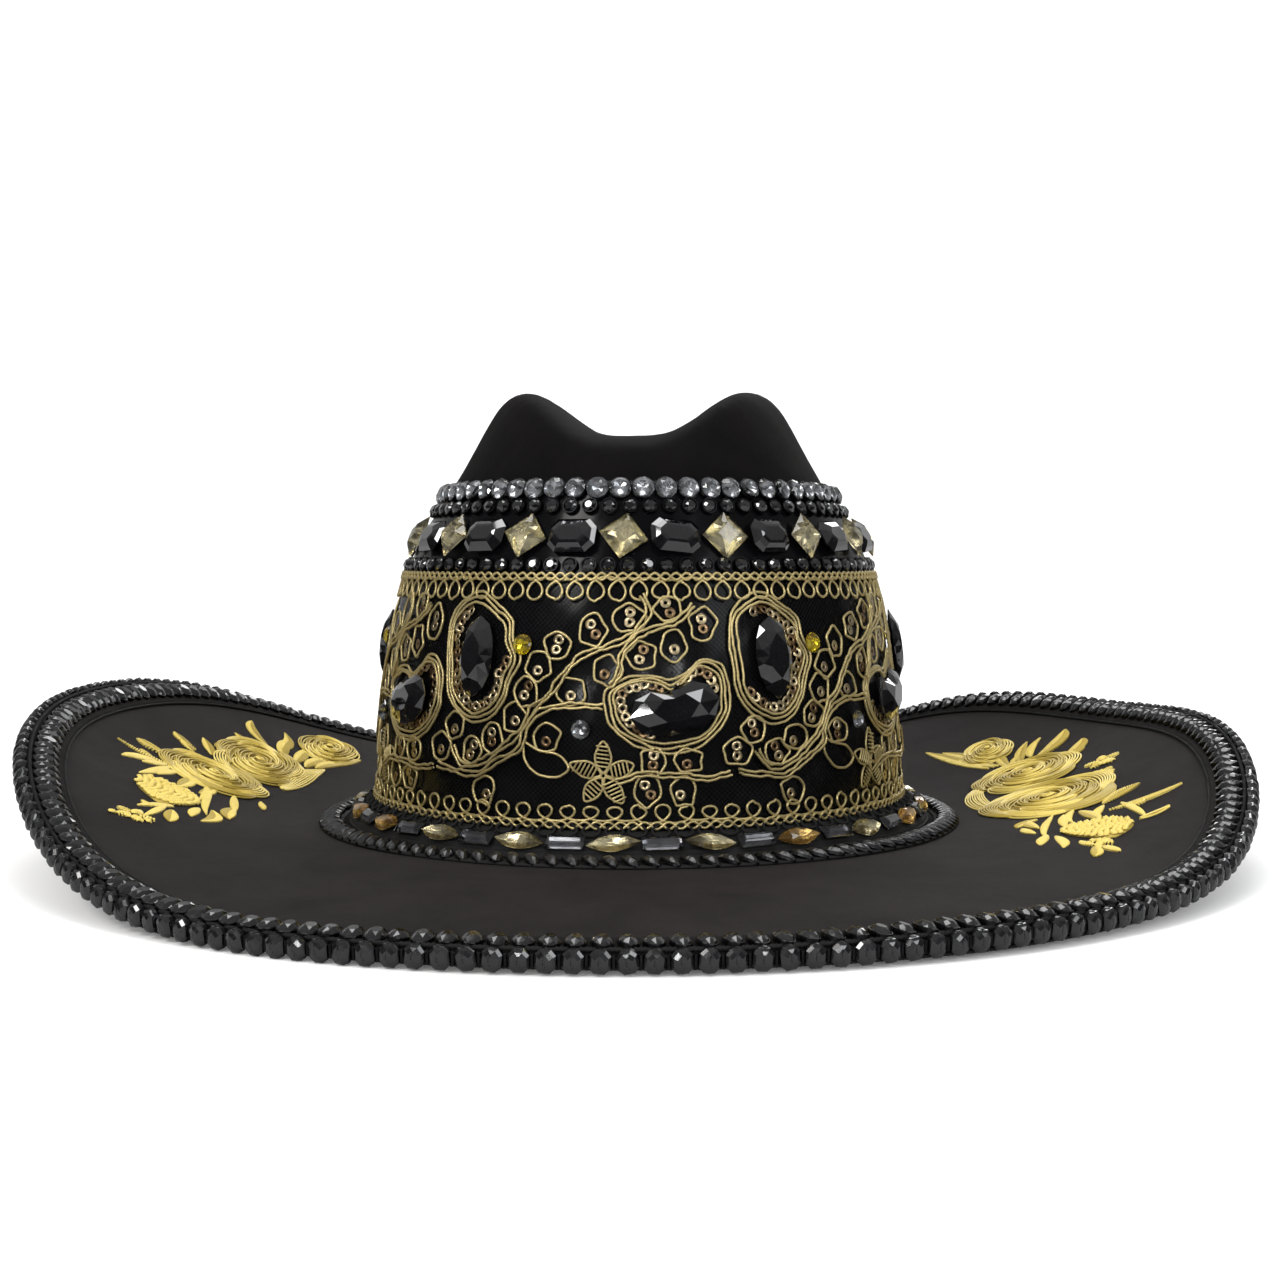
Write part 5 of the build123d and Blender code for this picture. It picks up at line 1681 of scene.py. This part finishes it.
def make_world():
    """White surroundings for the eye and soft light, with contrast for what stones reflect."""
    world = bpy.data.worlds.new("studio")
    bpy.context.scene.world = world
    world.use_nodes = True
    graph = Graph(world.node_tree)
    split = graph.node("SeparateXYZ")
    graph.link(graph.node("TexCoord").outputs["Generated"], split, 0)
    height = graph.node("MapRange", {"From Min": -1})
    graph.link(split.outputs["Z"], height, "Value")
    sky = graph.ramp(height.outputs[0], (0.30, gray(0.20)), (0.50, gray(0.035)),
                     (0.62, gray(0.035)), (0.76, gray(0.24)), (0.95, gray(0.30)))
    path = graph.node("LightPath")
    sees = graph.node("Math", operation="MAXIMUM")
    graph.link(path.outputs["Is Camera Ray"], sees, 0)
    graph.link(path.outputs["Is Diffuse Ray"], sees, 1)
    mix = graph.node("Mix", data_type="RGBA")
    graph.link(sees.outputs[0], mix, "Factor")
    graph.link(sky, mix, "A")
    mix.inputs["B"].default_value = (1.0, 1.0, 1.0, 1)
    background = graph.nodes["Background"]
    graph.link(mix.outputs["Result"], background, "Color")
    background.inputs["Strength"].default_value = 1.0


def area_light(name, place, aim, size, power, color=(1, 1, 1)):
    """Rectangular lamp in metres and watts."""
    data = bpy.data.lights.new(name, "AREA")
    data.shape = "RECTANGLE"
    data.size, data.size_y = size
    data.energy = power
    data.color = color
    light = bpy.data.objects.new(name, data)
    light.location = place
    light.rotation_euler = (Vector(aim) - Vector(place)).to_track_quat("-Z", "Y").to_euler()
    bpy.context.collection.objects.link(light)


def make_lights():
    """Soft key, fill, top and back lamps, and four small ones that stones glint in."""
    middle = (0, 0, 0.08)
    area_light("key", (-0.9, -1.3, 1.3), middle, (0.5, 0.5), 13, (1.0, 0.98, 0.95))
    area_light("fill", (1.2, -1.0, 0.8), middle, (0.6, 0.6), 5, (0.96, 0.98, 1.0))
    area_light("top", (0.0, 0.1, 1.5), middle, (0.9, 0.5), 6)
    area_light("back", (0.3, 1.5, 0.9), middle, (0.9, 0.5), 6)
    for i, x in enumerate((-0.55, -0.15, 0.3, 0.7)):
        area_light(f"spark_{i}", (x, -1.5, 0.35 + 0.12 * (i % 2)), middle, (0.07, 0.07), 1.6)


CAMERA_PLACE = (0.0488, -0.6983, 0.096)
CAMERA_PITCH = 2.25           # degrees below level
CAMERA_YAW = 4.0
CAMERA_LENS = 58.1


def make_camera():
    data = bpy.data.cameras.new("camera")
    data.lens = CAMERA_LENS
    data.sensor_width = 36
    camera = bpy.data.objects.new("camera", data)
    camera.location = CAMERA_PLACE
    camera.rotation_euler = (math.radians(90 - CAMERA_PITCH), 0, math.radians(CAMERA_YAW))
    bpy.context.collection.objects.link(camera)
    bpy.context.scene.camera = camera


make_crown()
make_band()
make_crown_stones()
make_lace_stones()
make_lace_cords()
make_sequins()
make_loop_braids()
make_foot_cloth()
make_foot_stones()
make_brim_covers()
make_binding()
make_edge_beads()
make_embroidery()
make_lining()
make_sweatband()
make_bow()
dress_hidden_nodes()
make_stage()
make_world()
make_lights()
make_camera()
bpy.context.scene.view_settings.view_transform = "Standard"
